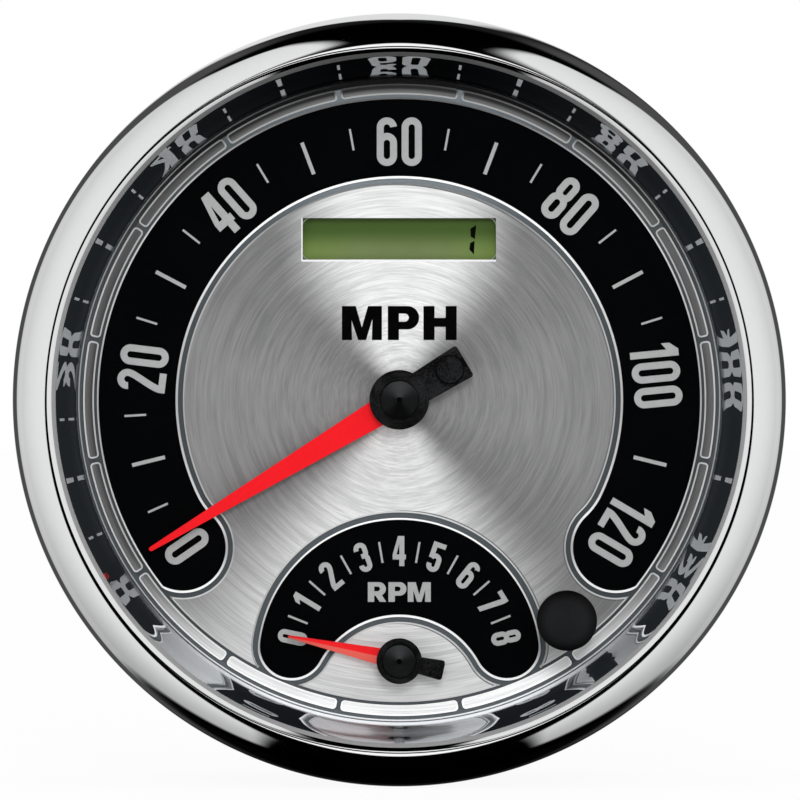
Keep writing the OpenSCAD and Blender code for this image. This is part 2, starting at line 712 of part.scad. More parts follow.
// White moulding: a plate, a rim, three posts to the case's back and four bosses for the board
module chassis() color("whitesmoke") stood_up() difference() {
    union() {
        disc([0, 0], 2 * chassis_r, movement_z, plate_t);
        difference() {
            disc([0, 0], 2 * chassis_r, board_z, movement_z - board_z);
            disc([0, 0], 2 * (chassis_r - rim_t), board_z - cut, movement_z - board_z + cut);
        }
        for (at = post_at)
            disc(at, post_d, floor_z, movement_z - floor_z);
        for (at = boss_at)
            disc(at, boss_d, board_z, movement_z - board_z);
    }
    for (at = [speed_axis, rev_axis])
        disc(at, nose_d + 2 * hole_ease, movement_z - cut, plate_t + 2 * cut);
    disc(button_at, stem_d + 2 * ease, movement_z - cut, plate_t + 2 * cut);
    block(window_at, holder_w + 2 * hole_ease, holder_h + 2 * hole_ease,
          movement_z - cut, plate_t + 2 * cut);
    for (at = lamp_at)
        disc(at, well_d, movement_z - cut, plate_t + 2 * cut);
    for (at = post_at)
        disc(at, screw_d + 2 * slip, floor_z - cut, screw_l + cut + ease);
    for (at = boss_at)
        disc(at, board_screw_d + 2 * slip, board_z - cut, board_screw_l + cut + ease);
}

// Liquid crystal glass behind the window
module lcd_glass() color("darkolivegreen") stood_up()
    block(window_at, glass_w, glass_h, glass_z - glass_t, glass_t);

// Open-backed box from the board up to the dial, with a round-cornered opening in front
module lcd_holder() color("dimgray") stood_up() difference() {
    block(window_at, holder_w, holder_h, board_z, holder_z - board_z);
    block(window_at, glass_w + 2 * slip, glass_h + 2 * slip, board_z - cut, glass_z - board_z + cut);
    round_block(window_at, window_w, window_h, holder_corner_r, glass_z - cut, holder_t + 2 * cut);
}

// Diffusing block that lights the glass from behind, clear of the pins
module lcd_backlight() color("ivory") stood_up()
    block(window_at, glass_w - 2 * ease, glass_h - 4 * glass_pin_d - 2 * ease,
          glass_z - glass_t - backlight_t, backlight_t);

// Two rows of pins from the glass down to the board
module lcd_pins() color("silver") stood_up()
    for (i = [0:glass_pins - 1], y = [-1, 1])
        disc(window_at + [(i / (glass_pins - 1) - 0.5) * (glass_w - 4 * glass_pin_d),
                          y * (glass_h / 2 - glass_pin_d)],
             glass_pin_d, board_z, glass_z - glass_t - board_z);

// Round board behind the movements, cut for the chassis's posts and screws
module circuit_board() color("darkgreen") stood_up() difference() {
    disc([0, 0], 2 * (case_in_r - board_gap), board_back_z, board_t);
    for (at = post_at)
        disc(at, post_d + 2 * hole_ease, board_back_z - cut, board_t + 2 * cut);
    for (at = boss_at)
        disc(at, board_screw_d + 2 * hole_ease, board_back_z - cut, board_t + 2 * cut);
}

// Four screws through the board into the bosses
module board_screws() color("silver") stood_up()
    for (at = boss_at) {
        disc(at, board_screw_head_d, board_back_z - board_screw_head_h, board_screw_head_h);
        disc(at, board_screw_d, board_back_z, board_t + board_screw_l);
    }

// Lamps on the front of the board, one under each well
module dial_lamps() color("lemonchiffon") stood_up()
    for (at = lamp_at)
        block(at, lamp_l, lamp_w, board_z, lamp_h);

// Chip on the back of the board
module controller_chip() color("black") stood_up()
    block(chip_at, chip_w, chip_w, board_back_z - chip_h, chip_h);

// Regulator on the back of the board
module voltage_regulator() color("black") stood_up()
    block(regulator_at, regulator_w, regulator_l, board_back_z - regulator_h, regulator_h);

// Capacitors on the back of the board
module capacitors() color("steelblue") stood_up()
    for (at = capacitor_at)
        disc(at, capacitor_d, board_back_z - capacitor_h, capacitor_h);

// Shrouded inlet on the board, which passes through the case's back
module harness_socket() color("black") stood_up() difference() {
    mouth_z = -case_depth - socket_out;
    union() {
        block(socket_at, socket_w, socket_h, mouth_z, board_back_z - mouth_z);
        block(socket_at, socket_w + 2 * socket_flange, socket_h + 2 * socket_flange,
              floor_z, socket_flange_t);
    }
    block(socket_at, socket_w - 2 * socket_wall, socket_h - 2 * socket_wall,
          mouth_z - cut, socket_cavity + cut);
    socket_pin_places() cylinder(d = socket_pin_d + 2 * slip, h = case_depth);
}

// Places of the contact pins at the foot of the socket's cavity
module socket_pin_places() {
    foot_z = socket_cavity - case_depth - socket_out;
    for (i = [0:socket_pins_row - 1], y = [-1, 1])
        translate([socket_at[0] + (i - (socket_pins_row - 1) / 2) * socket_pitch,
                   socket_at[1] + y * socket_pitch / 2, foot_z]) children();
}

// Two rows of contact pins from the board into the socket's cavity
module socket_pins() color("gold") stood_up()
    socket_pin_places() translate([0, 0, -socket_pin_h])
        cylinder(d = socket_pin_d,
                 h = board_back_z + case_depth + socket_out - socket_cavity + socket_pin_h);

// Body of the switch under the trip button
module trip_switch() color("dimgray") stood_up() difference() {
    switch_w = plunger_d + 2 * (stem_clear + switch_wall);
    block(button_at, switch_w, switch_w, board_z, switch_h);
    disc(button_at, plunger_d + 2 * stem_clear, board_z + switch_h - plunger_in - ease, switch_h);
}

// Flanged bush in the lens that guides the trip button's stem
module button_bush() color("black") stood_up() difference() {
    union() {
        disc(button_at, bush_d, lens_z - bush_tail, lens_t + bush_tail);
        disc(button_at, bush_flange_d, lens_front_z, bush_flange_t);
    }
    disc(button_at, stem_d + 2 * stem_clear, lens_z - bush_tail - cut,
         lens_t + bush_tail + bush_flange_t + 2 * cut);
}

// A flat ring round the trip button's axis
module clip_ring(in_d, out_d, z) difference() {
    disc(button_at, out_d, z, clip_t);
    disc(button_at, in_d, z - cut, clip_t + 2 * cut);
}

// Ring that holds the bush against the lens
module bush_clip() color("silver") stood_up()
    clip_ring(bush_d + 2 * slip, bush_d + 2 * clip_w, lens_z - clip_t);

// Domed rubber cap with a hollow skirt
module button_cap() color("#202224") stood_up() translate([button_at[0], button_at[1], cap_z]) {
    r = cap_d / 2;
    dome_r = (r * r + cap_dome_h * cap_dome_h) / (2 * cap_dome_h);
    spread = asin(r / dome_r);
    rotate_extrude() polygon(concat(
        [[0, cap_hollow], [r - cap_wall, cap_hollow], [r - cap_wall, 0], [r, 0]],
        [for (i = [0:arc_steps - 1]) let (a = spread * (1 - i / arc_steps))
            [dome_r * sin(a), cap_side_h + cap_dome_h - dome_r + dome_r * cos(a)]],
        [[0, cap_side_h + cap_dome_h]]));
}

// Rod from the cap down to the switch, with a groove for its clip
module button_stem() color("whitesmoke") stood_up() difference() {
    disc(button_at, stem_d, plunger_z, cap_z + cap_hollow - plunger_z);
    clip_ring(stem_d - clip_t, stem_d + cut, stem_clip_z);
}

// Ring in the stem's groove that stops it at the back of the bush
module stem_clip() color("silver") stood_up()
    clip_ring(stem_d - clip_t + 2 * slip, bush_d, stem_clip_z);

// Plunger of the trip switch, which the stem rests on
module switch_plunger() color("black") stood_up()
    disc(button_at, plunger_d, plunger_z - plunger_up - button_travel, plunger_up + button_travel);

// Front half of a bobbin: flange, nose through the chassis, neck, and half of the rotor's chamber
module bobbin_front(at) color("wheat") stood_up() translate([at[0], at[1], movement_z]) difference() {
    split_w = chamber_w + chamber_h / 2;
    union() {
        translate([0, 0, -neck_w]) cylinder(d = can_d - 2 * can_t - 2 * ease, h = neck_w);
        translate([0, 0, -body_w]) cylinder(d = nose_d, h = body_w + plate_t + guide_t);
        translate([0, 0, -split_w]) cylinder(d = bobbin_d, h = split_w - body_w);
    }
    translate([0, 0, -split_w - cut]) cylinder(d = chamber_d, h = split_w - chamber_w + cut);
    translate([0, 0, -chamber_w - cut])
        cylinder(d = bearing_d + 2 * slip, h = chamber_w + plate_t + guide_t + 2 * cut);
}

// Rear half of a bobbin: the other half of the chamber, and a boss on the shield can's floor
module bobbin_rear(at) color("wheat") stood_up() translate([at[0], at[1], movement_z]) difference() {
    split_w = chamber_w + chamber_h / 2;
    union() {
        translate([0, 0, -body_end_w]) cylinder(d = bobbin_d, h = body_end_w - split_w);
        translate([0, 0, -can_floor_w]) cylinder(d = nose_d, h = can_floor_w - body_end_w);
    }
    translate([0, 0, -chamber_end_w]) cylinder(d = chamber_d, h = chamber_h);
    translate([0, 0, -can_floor_w - cut])
        cylinder(d = bearing_d + 2 * slip, h = can_floor_w - chamber_end_w + 2 * cut);
}

// One coil: a rectangular winding on each side of the spindle, round the bobbin's body
module coil(at, in_half, in_top, in_foot, turn) stood_up()
    translate([at[0], at[1], movement_z]) rotate([0, 0, turn])
        for (side = [-1, 1])
            translate([side * (coil_in + coil_w / 2), 0, 0]) difference() {
                block([0, 0], coil_w, 2 * (in_half + coil_t), -in_foot - coil_t,
                      in_foot - in_top + 2 * coil_t);
                block([0, 0], coil_w + 2 * cut, 2 * in_half, -in_foot, in_foot - in_top);
            }

// Coil next to the bobbin
module coil_inner(at) color("chocolate")
    coil(at, bobbin_d / 2 + coil_gap, body_w - coil_gap, body_end_w + coil_gap, 0);

// Coil across it and over it
module coil_outer(at) color("peru")
    coil(at, bobbin_d / 2 + coil_t + 2 * coil_gap, body_w - coil_t - 2 * coil_gap,
         body_end_w + coil_t + 2 * coil_gap, 90);

// Steel cup round a movement, between chassis and board
module shield_can(at) color("darkgray") stood_up() difference() {
    disc(at, can_d, board_z, movement_z - board_z);
    disc(at, can_d - 2 * can_t, board_z + can_t, movement_z - board_z);
}

// Bearing bushes in a bobbin's nose and rear boss
module bushes(at) color("goldenrod") stood_up() translate([at[0], at[1], movement_z]) {
    difference() {
        translate([0, 0, -chamber_w]) cylinder(d = bearing_d, h = chamber_w + plate_t + guide_t);
        translate([0, 0, -chamber_w - cut])
            cylinder(r = spindle_r + spindle_clear, h = chamber_w + plate_t + guide_t + 2 * cut);
    }
    difference() {
        translate([0, 0, -can_floor_w]) cylinder(d = bearing_d, h = can_floor_w - chamber_end_w);
        translate([0, 0, bearing_floor - can_floor_w])
            cylinder(r = spindle_r + spindle_clear, h = can_floor_w - chamber_end_w);
    }
}

// Spindle from the rear bush through the dial into a pointer's hub
module spindle(at) color("silver") stood_up()
    disc(at, 2 * spindle_r, spindle_z, hub_z + hub_h / 2 - spindle_z);

// Magnet disc on a spindle
module rotor_magnet(at) color("dimgray") stood_up() difference() {
    disc(at, magnet_d, movement_z - chamber_w - magnet_clear - magnet_t, magnet_t);
    disc(at, 2 * (spindle_r + slip), movement_z - chamber_end_w, chamber_h);
}

// Tapered blade on a round root, pressed on the spindle
module pointer_blade(at, turn, l, w, tip_w, root_d) color("red") stood_up()
    translate([at[0], at[1], 0]) rotate([0, 0, -turn]) difference() {
        union() {
            plate(blade_outline(l, w, tip_w), blade_z, blade_t);
            disc([0, 0], root_d, blade_z, blade_t);
        }
        disc([0, 0], 2 * (spindle_r + slip), blade_z - cut, blade_t + 2 * cut);
    }

// Round hub with a low cone, and a tail away from the blade
module pointer_hub(at, turn, d, cone_d, tail_l, tail_w) stood_up()
    translate([at[0], at[1], hub_z]) rotate([0, 0, -turn]) difference() {
        union() {
            cylinder(d = d, h = hub_h);
            translate([0, 0, hub_h]) cylinder(d1 = cone_d, d2 = 4 * spindle_r, h = hub_cone_h);
            translate([-tail_w / 2, -tail_l, 0]) cube([tail_w, tail_l, tail_h]);
        }
        translate([0, 0, -cut]) cylinder(r = spindle_r + slip, h = hub_h + hub_cone_h + 2 * cut);
        children();
    }

// Speed pointer's hub, with a pocket in its tail for the balance weight
module speed_pointer_hub() color("#1c1c1d")
    pointer_hub(speed_axis, speed_rest_angle, speed_hub_d, speed_cone_d, speed_tail_l, speed_tail_w)
        translate([0, -weight_at, tail_h - weight_h / 2])
            cylinder(d = weight_d + 2 * slip, h = weight_h + cut);

// Round weight that balances the speed pointer
module speed_pointer_weight() color("#242425") stood_up()
    disc(speed_axis + cw(-weight_at, speed_rest_angle), weight_d, hub_z + tail_h - weight_h / 2, weight_h);

// Rev pointer's hub
module rev_pointer_hub() color("#1c1c1d")
    pointer_hub(rev_axis, rev_rest_angle, rev_hub_d, rev_cone_d, rev_tail_l, rev_tail_w);

// Speed pointer's blade, its root hidden by the hub
module speed_pointer_blade()
    pointer_blade(speed_axis, speed_rest_angle, speed_blade_l, speed_blade_w, speed_tip_w, speed_cone_d);

// Rev pointer's blade
module rev_pointer_blade()
    pointer_blade(rev_axis, rev_rest_angle, rev_blade_l, rev_blade_w, rev_tip_w, rev_cone_d);

bezel();
lens();
lens_gasket();
case_gasket();
reflector_ring();
case_cup();
mounting_studs();
case_screws();
dial_base();
dial_face();
speed_scale();
rev_scale();
light_guide();
chassis();
lcd_glass();
lcd_holder();
lcd_backlight();
lcd_pins();
circuit_board();
board_screws();
dial_lamps();
controller_chip();
voltage_regulator();
capacitors();
harness_socket();
socket_pins();
trip_switch();
button_bush();
bush_clip();
button_cap();
button_stem();
stem_clip();
switch_plunger();
bobbin_front(speed_axis);  // speed_bobbin_front
bobbin_rear(speed_axis);  // speed_bobbin_rear
coil_inner(speed_axis);  // speed_coil_inner
coil_outer(speed_axis);  // speed_coil_outer
shield_can(speed_axis);  // speed_shield_can
bushes(speed_axis);  // speed_bushes
spindle(speed_axis);  // speed_spindle
rotor_magnet(speed_axis);  // speed_rotor_magnet
speed_pointer_blade();
speed_pointer_hub();
speed_pointer_weight();
bobbin_front(rev_axis);  // rev_bobbin_front
bobbin_rear(rev_axis);  // rev_bobbin_rear
coil_inner(rev_axis);  // rev_coil_inner
coil_outer(rev_axis);  // rev_coil_outer
shield_can(rev_axis);  // rev_shield_can
bushes(rev_axis);  // rev_bushes
spindle(rev_axis);  // rev_spindle
rotor_magnet(rev_axis);  // rev_rotor_magnet
rev_pointer_blade();
rev_pointer_hub();
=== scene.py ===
"""The looks of an in-dash speedometer with a rev counter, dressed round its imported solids.

Shapes are worked out on the dial in millimetres: x to the right, y up, and z out
towards the driver. row_frame() turns them into the frame's metres.
"""
import json
from types import SimpleNamespace

import bmesh
import bpy
import numpy as np
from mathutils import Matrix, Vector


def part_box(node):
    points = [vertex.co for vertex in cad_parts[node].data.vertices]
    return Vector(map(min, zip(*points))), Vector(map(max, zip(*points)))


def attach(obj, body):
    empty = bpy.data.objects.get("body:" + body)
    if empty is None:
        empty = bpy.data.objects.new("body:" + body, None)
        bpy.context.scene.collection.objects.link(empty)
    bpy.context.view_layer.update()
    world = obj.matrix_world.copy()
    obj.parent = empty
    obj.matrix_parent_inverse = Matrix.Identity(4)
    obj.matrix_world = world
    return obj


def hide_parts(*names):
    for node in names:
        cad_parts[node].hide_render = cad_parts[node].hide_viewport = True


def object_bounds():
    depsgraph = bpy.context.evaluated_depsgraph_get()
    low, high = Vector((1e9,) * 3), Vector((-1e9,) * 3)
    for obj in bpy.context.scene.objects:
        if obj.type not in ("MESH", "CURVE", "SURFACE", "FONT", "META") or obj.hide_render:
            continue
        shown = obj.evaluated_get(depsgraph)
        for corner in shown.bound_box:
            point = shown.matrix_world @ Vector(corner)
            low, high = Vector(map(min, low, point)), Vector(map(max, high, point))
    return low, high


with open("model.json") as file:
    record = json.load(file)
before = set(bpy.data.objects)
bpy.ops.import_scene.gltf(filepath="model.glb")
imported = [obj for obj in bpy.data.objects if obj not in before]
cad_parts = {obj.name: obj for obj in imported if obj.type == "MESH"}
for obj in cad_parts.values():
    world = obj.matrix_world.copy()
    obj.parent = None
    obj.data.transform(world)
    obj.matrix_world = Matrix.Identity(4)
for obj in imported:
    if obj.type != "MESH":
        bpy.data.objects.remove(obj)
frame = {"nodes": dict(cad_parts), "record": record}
cad_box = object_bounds()

MM = 0.001
NODES = frame["nodes"]
SLOT_OF = {part["node"]: part["material_slot"] for part in frame["record"]["subparts"]}


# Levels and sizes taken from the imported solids

def front(node):
    """How far a node's front stands out towards the driver, in millimetres."""
    return -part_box(node)[0].y / MM


def back(node):
    """How far out a node's back lies, in millimetres; negative behind the panel."""
    return -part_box(node)[1].y / MM


def half_width(node):
    """Half of a node's width, in millimetres."""
    low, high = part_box(node)
    return (high.x - low.x) / 2 / MM


FACE_Z = front("dial_face")
BASE_Z = front("dial_base")
LENS_Z = back("lens")
GLASS_Z = front("lcd_glass")
CREST_Z = front("bezel")
BEZEL_R = half_width("bezel")
CASE_BACK_Z = back("case_cup")

# The dial's sizes in millimetres, and where the speed field ends in degrees, as in the part's source
REV_AXIS = np.array([0.0, -45.1])
SPEED_OUT_R = 52.1
SPEED_IN_R = 38.8
SPEED_MID_R = 45.45
SPEED_LOBE_R = 7.44
SPEED_END = 124.3
SPEED_SWEEP_R = 12.0
REV_OUT_R = 24.3
REV_LOBE_R = 5.5
REV_ARCH_DROP = 7.9
CHANNEL_W = 1.28
FACE_R = 52.4
SEGMENTS = 16
SEGMENT_IN_R = 53.0
SEGMENT_OUT_R = 54.7
SEGMENT_GAP = 0.9
SEGMENT_CORNER_R = 0.55
WINDOW_AT = np.array([0.0, 27.9])
WINDOW_W = 33.5
WINDOW_H = 7.2
HOLDER_CORNER_R = 1.6

# The levels of printed marks, the flag of a one as a share of its height, and a large ring's steps
INK_Z = (FACE_Z - 0.01, FACE_Z + 0.03)
ONE_FLAG = 0.135
RING_STEPS = 320


# Lines on the dial

def cw(r, d):
    """Points at radius r, d degrees clockwise from the top: (r sin d, r cos d)."""
    d = np.radians(d)
    return np.stack(np.broadcast_arrays(r * np.sin(d), r * np.cos(d)), -1)


def heading(v):
    """The heading of a vector, in degrees clockwise from the top."""
    return np.degrees(np.arctan2(v[0], v[1]))


def arc(centre, r, start, end, step=1.5):
    """Points of an arc about a centre from one heading to another, both included."""
    count = max(3, int(np.ceil(abs(end - start) / step)) + 1)
    return np.asarray(centre, float) + cw(r, np.linspace(start, end, count))


def thinned(path, closed=True):
    """A path without the points that fall on the one before them."""
    keep = np.linalg.norm(path - np.roll(path, 1, 0), axis=1) > 1e-4
    if not closed:
        keep[0] = True
    return path[keep]


def both_sides(half):
    """A right half of an outline from its top to its foot, joined to its mirror image."""
    return thinned(np.concatenate([half, half[::-1] * (-1, 1)]))


def running(path, closed=True):
    """Unit direction along a path at each point: its next point less the one before."""
    if closed:
        step = np.roll(path, -1, 0) - np.roll(path, 1, 0)
    else:
        step = np.gradient(path, axis=0)
    return step / np.linalg.norm(step, axis=1, keepdims=True)


def leftward(path, closed=True):
    """Unit normal on the left of a path, which is outside a clockwise outline."""
    way = running(path, closed)
    return np.stack([-way[:, 1], way[:, 0]], -1)


def speed_outline(g):
    """Outline of the black speed field grown by g: the outer arc, a round lobe at each
    end, a hollow sweep from the lobe, and the inner arc."""
    out, inside, at = SPEED_OUT_R, SPEED_IN_R, SPEED_MID_R
    lobe = cw(at, SPEED_END)
    over = np.degrees(np.arccos(((out + g) ** 2 + at ** 2 - (SPEED_LOBE_R + g) ** 2)
                                / (2 * (out + g) * at)))
    sweep_at = inside - SPEED_SWEEP_R
    reach = SPEED_LOBE_R + SPEED_SWEEP_R
    behind = np.degrees(np.arccos((sweep_at ** 2 + at ** 2 - reach ** 2) / (2 * sweep_at * at)))
    sweep = cw(sweep_at, SPEED_END - behind)
    start = heading(cw(out + g, SPEED_END + over) - lobe)
    end = heading(sweep - lobe) + 360
    return both_sides(np.concatenate([
        arc((0, 0), out + g, 0, SPEED_END + over),
        arc(lobe, SPEED_LOBE_R + g, start, end, 4),
        arc(sweep, SPEED_SWEEP_R - g, end - 180, SPEED_END - behind, 3),
        arc((0, 0), inside - g, SPEED_END - behind, 0)]))


def rev_outline(g):
    """Outline of the black rev field grown by g: the upper arc about the rev axis, a
    round lobe at each end, and the arch below, which runs into the lobes."""
    rim = SPEED_OUT_R - REV_LOBE_R
    swing = REV_OUT_R - REV_LOBE_R
    drop = -REV_AXIS[1]
    lobe_y = (swing ** 2 - rim ** 2 - drop ** 2) / (2 * drop)
    lobe = np.array([np.sqrt(rim ** 2 - lobe_y ** 2), lobe_y])
    arch = REV_AXIS - (0, REV_ARCH_DROP)
    across = arch - lobe
    arch_r = np.linalg.norm(across) - REV_LOBE_R
    start = heading(lobe - REV_AXIS)
    end = heading(across) + 360
    return both_sides(np.concatenate([
        arc(REV_AXIS, REV_OUT_R + g, 0, start),
        arc(lobe, REV_LOBE_R + g, start, end, 4),
        arc(arch, arch_r - g, end - 180, 0, 2)]))


def segment_outline(inset):
    """Outline of the rim segment at the top, drawn in by an inset all round."""
    out, inside = SEGMENT_OUT_R - inset, SEGMENT_IN_R + inset
    c = SEGMENT_CORNER_R - inset
    half = 180 / SEGMENTS - np.degrees(np.arcsin((SEGMENT_GAP / 2 + inset) / SPEED_OUT_R))
    top = half - np.degrees(np.arcsin(c / (out - c)))
    foot = half - np.degrees(np.arcsin(c / (inside + c)))
    return both_sides(np.concatenate([
        cw(out, np.linspace(0, top, 12)),
        cw(out - c, top) + cw(c, np.linspace(top, half + 90, 8)),
        cw(inside + c, foot) + cw(c, np.linspace(half + 90, foot + 180, 8)),
        cw(inside, np.linspace(foot, 0, 12))]))


def turned_by(path, d):
    """A path turned d degrees clockwise about the dial's centre."""
    c, s = np.cos(np.radians(d)), np.sin(np.radians(d))
    return path @ np.array([[c, -s], [s, c]])


def runs_where(chosen, *paths):
    """The stretches of closed paths at their chosen points, each from end to end."""
    first = np.flatnonzero(chosen & ~np.roll(chosen, 1))
    return [[np.roll(path, -k, 0)[:np.argmin(np.roll(chosen, -k))] for path in paths] for k in first]


def run_inside(path, radius):
    """The stretches of a closed path that lie within a radius."""
    return [run[0] for run in runs_where(np.linalg.norm(path, axis=1) < radius, path)]


# Shells: points, four-sided faces, many-sided lids, and the way each point's line runs

def row_frame(points):
    """Dial millimetres turned to the row frame's metres: (x, y, z) becomes (x, -z, y)."""
    return np.stack([points[:, 0], -points[:, 2], points[:, 1]], -1) * MM


def grid_quads(rows, cols, close_rows, close_cols):
    """Corners of each cell of a grid of points; a closed direction joins its last line to its first."""
    i, j = np.meshgrid(np.arange(rows if close_rows else rows - 1),
                       np.arange(cols if close_cols else cols - 1), indexing="ij")
    k, m = (i + 1) % rows, (j + 1) % cols
    return np.stack([i * cols + j, k * cols + j, k * cols + m, i * cols + m], -1).reshape(-1, 4)


def shell(points, quads, lids=(), along=None):
    """One closed surface as a tuple of its arrays."""
    points = np.asarray(points, float).reshape(-1, 3)
    if along is None:
        along = np.zeros_like(points)
    return points, quads, list(lids), along


def full_turn(steps):
    """Angles of a full turn, without the last, which is the first again."""
    return np.linspace(0, 2 * np.pi, steps, endpoint=False)


def turned(profile, steps, centre=(0.0, 0.0), closed=True):
    """A profile of (radius, height) pairs swung round an axis: x = cx + r sin a,
    y = cy + r cos a and z = height, for the angle a from 0 to a full turn."""
    profile = np.asarray(profile, float)
    a = full_turn(steps)[:, None]
    r, z = profile[:, 0], np.broadcast_to(profile[:, 1], (steps, len(profile)))
    points = np.stack([centre[0] + r * np.sin(a), centre[1] + r * np.cos(a), z], -1)
    along = np.stack(np.broadcast_arrays(np.cos(a), -np.sin(a), np.zeros_like(r)), -1)
    return shell(points, grid_quads(steps, len(profile), True, closed), (), along.reshape(-1, 3))


def carried(near, far, section, closed=True):
    """A section carried along two edges: at share f it lies at near + f (far - near),
    at the section's height there."""
    section = np.asarray(section, float)
    f, h = section[:, 0], section[:, 1]
    flat = near[:, None] + f[None, :, None] * (far - near)[:, None]
    rows, cols = flat.shape[:2]
    points = np.concatenate([flat, np.broadcast_to(h[None, :, None], (rows, cols, 1))], -1)
    way = running((near + far) / 2, closed)
    along = np.concatenate([way, np.zeros((rows, 1))], -1).repeat(cols, 0)
    lids = () if closed else (np.arange(cols), np.arange(cols)[::-1] + (rows - 1) * cols)
    return shell(points, grid_quads(rows, cols, closed, True), lids, along)


def plate(outline, low, high):
    """A flat plate: one outline at two heights, a wall between them and a lid on each."""
    n = len(outline)
    i = np.arange(n)
    j = (i + 1) % n
    points = np.concatenate([np.column_stack([outline, np.full(n, low)]),
                             np.column_stack([outline, np.full(n, high)])])
    return shell(points, np.stack([i, j, j + n, i + n], -1), (i[::-1], i + n))


def stroke(path, width, low, high, closed=False):
    """A pen line of even width: the path moved half a width to each side along its normals."""
    side = leftward(path, closed) * width / 2
    return carried(path + side, path - side, [(0, low), (0, high), (1, high), (1, low)], closed)


def oval(x, y, wide, high, a):
    """Points of an ellipse about a middle, at angles a: (x + wide cos a, y + high sin a)."""
    return np.stack([x + wide * np.cos(a), y + high * np.sin(a)], -1)


def crown(low, high, steps=8):
    """A round-topped section from share 0 to 1: a half ellipse from low up to high, and a flat foot."""
    return oval(0.5, low, 0.5, high - low, np.linspace(np.pi, 0, steps + 1))


def mirrored(left):
    """A section from share 0 to 1: its left half, up to the middle, and that half's mirror image."""
    return left + [(1 - share, z) for share, z in left[::-1]]


def flat_top(low, high, ease=0.1):
    """A flat-topped section with its two upper corners eased."""
    return mirrored([(0, low), (0, high - ease), (0.04, high - 0.3 * ease), (0.14, high)])


def moved(one, at, d=0.0):
    """A shell turned d degrees clockwise about its own origin, then moved to a place."""
    points, quads, lids, along = one
    flat = turned_by(points[:, :2], d) + np.asarray(at, float)
    return np.column_stack([flat, points[:, 2]]), quads, lids, along


def lifted(one, k):
    """A shell raised k fine steps, so that strokes laid over each other don't share one level."""
    fine_step = 0.006
    points, quads, lids, along = one
    return points + (0, 0, fine_step * k), quads, lids, along


def linked(name, data):
    """A new object in the scene."""
    obj = bpy.data.objects.new(name, data)
    bpy.context.scene.collection.objects.link(obj)
    return obj


def piece(name, shells, finish, body="case", stands_for=(), sharp=35.0, weld=False):
    """Puts shells into one mesh in the row frame, faces outwards, smooth but for edges sharper
    than an angle, gives it a finish by name, and lets it ride on a body."""
    sizes = [len(s[0]) for s in shells]
    starts = np.concatenate([[0], np.cumsum(sizes)[:-1]])
    points = row_frame(np.concatenate([s[0] for s in shells]))
    faces = np.concatenate([s[1] + k for s, k in zip(shells, starts)]).tolist()
    faces += [(lid + k).tolist() for s, k in zip(shells, starts) for lid in s[2]]
    mesh = bpy.data.meshes.new(name)
    mesh.from_pydata(points, [], faces)
    along = row_frame(np.concatenate([s[3] for s in shells])) / MM
    mesh.attributes.new("along", "FLOAT_VECTOR", "POINT").data.foreach_set("vector", along.ravel())
    work = bmesh.new()
    work.from_mesh(mesh)
    if weld:
        bmesh.ops.remove_doubles(work, verts=work.verts, dist=1e-7)
    bmesh.ops.recalc_face_normals(work, faces=work.faces)
    work.to_mesh(mesh)
    work.free()
    mesh.shade_smooth()
    mesh.set_sharp_from_angle(angle=np.radians(sharp))
    mesh.materials.append(FINISH[finish])
    obj = linked(name, mesh)
    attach(obj, body)
    if stands_for:
        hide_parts(*stands_for)


# Finishes

class Value:
    """A node's output; sums written with it add Math nodes to its tree."""

    def __init__(self, socket):
        self.socket, self.tree = socket, socket.id_data

    def __add__(self, other):
        return maths("ADD", self, other)

    def __sub__(self, other):
        return maths("SUBTRACT", self, other)

    def __rsub__(self, other):
        return maths("SUBTRACT", other, self)

    def __mul__(self, other):
        return maths("MULTIPLY", self, other)

    def __abs__(self):
        return maths("ABSOLUTE", self)

    __radd__, __rmul__ = __add__, __mul__

    def step(self, low, high, to_low=0.0, to_high=1.0):
        """This value eased from one range to another."""
        node = new_node(self.tree, "ShaderNodeMapRange", interpolation_type="SMOOTHSTEP")
        return Value(fill(node, self, low, high, to_low, to_high).outputs[0])


def put(socket, value):
    """Sets an input, or joins it to another node's output."""
    if isinstance(value, Value):
        value.tree.links.new(value.socket, socket)
    elif socket.type == "RGBA":
        socket.default_value = (*value, 1.0)
    else:
        socket.default_value = value


def fill(node, *values):
    """Puts values into a node's inputs, in their order."""
    for socket, value in zip(node.inputs, values):
        put(socket, value)
    return node


def new_node(tree, kind, **settings):
    """A node of a kind; each setting is one of its inputs or of its own switches."""
    node = tree.nodes.new(kind)
    for key, value in settings.items():
        if key in node.inputs:
            put(node.inputs[key], value)
        else:
            setattr(node, key, value)
    return node


def tree_of(values):
    """The node tree of the first value that is a node's output."""
    return next(value.tree for value in values if isinstance(value, Value))


def maths(operation, *values):
    """A Math node's result."""
    node = new_node(tree_of(values), "ShaderNodeMath", operation=operation)
    return Value(fill(node, *values).outputs[0])


def vector_maths(operation, *values, output="Vector"):
    """A Vector Math node's result."""
    node = new_node(tree_of(values), "ShaderNodeVectorMath", operation=operation)
    return Value(fill(node, *values).outputs[output])


def parts(vector):
    """The x, y and z of a vector."""
    return [Value(out) for out in new_node(vector.tree, "ShaderNodeSeparateXYZ", Vector=vector).outputs]


def length_of(x, z):
    """The square root of the sum of two squares."""
    return maths("SQRT", x * x + z * z)


def between(share, first, second):
    """A value between two others: first + share (second - first)."""
    return first + share * (second - first)


def blended(share, first, second, blend_type="MIX"):
    """A mix of two colours."""
    tree = tree_of((share, first, second))
    node = new_node(tree, "ShaderNodeMix", data_type="RGBA", blend_type=blend_type)
    for place, value in ((0, share), (6, first), (7, second)):
        put(node.inputs[place], value)
    return Value(node.outputs[2])


def place_in(tree, kind="Object"):
    """The place being shaded, in the piece's own coordinates or in others."""
    return Value(tree.nodes.new("ShaderNodeTexCoord").outputs[kind])


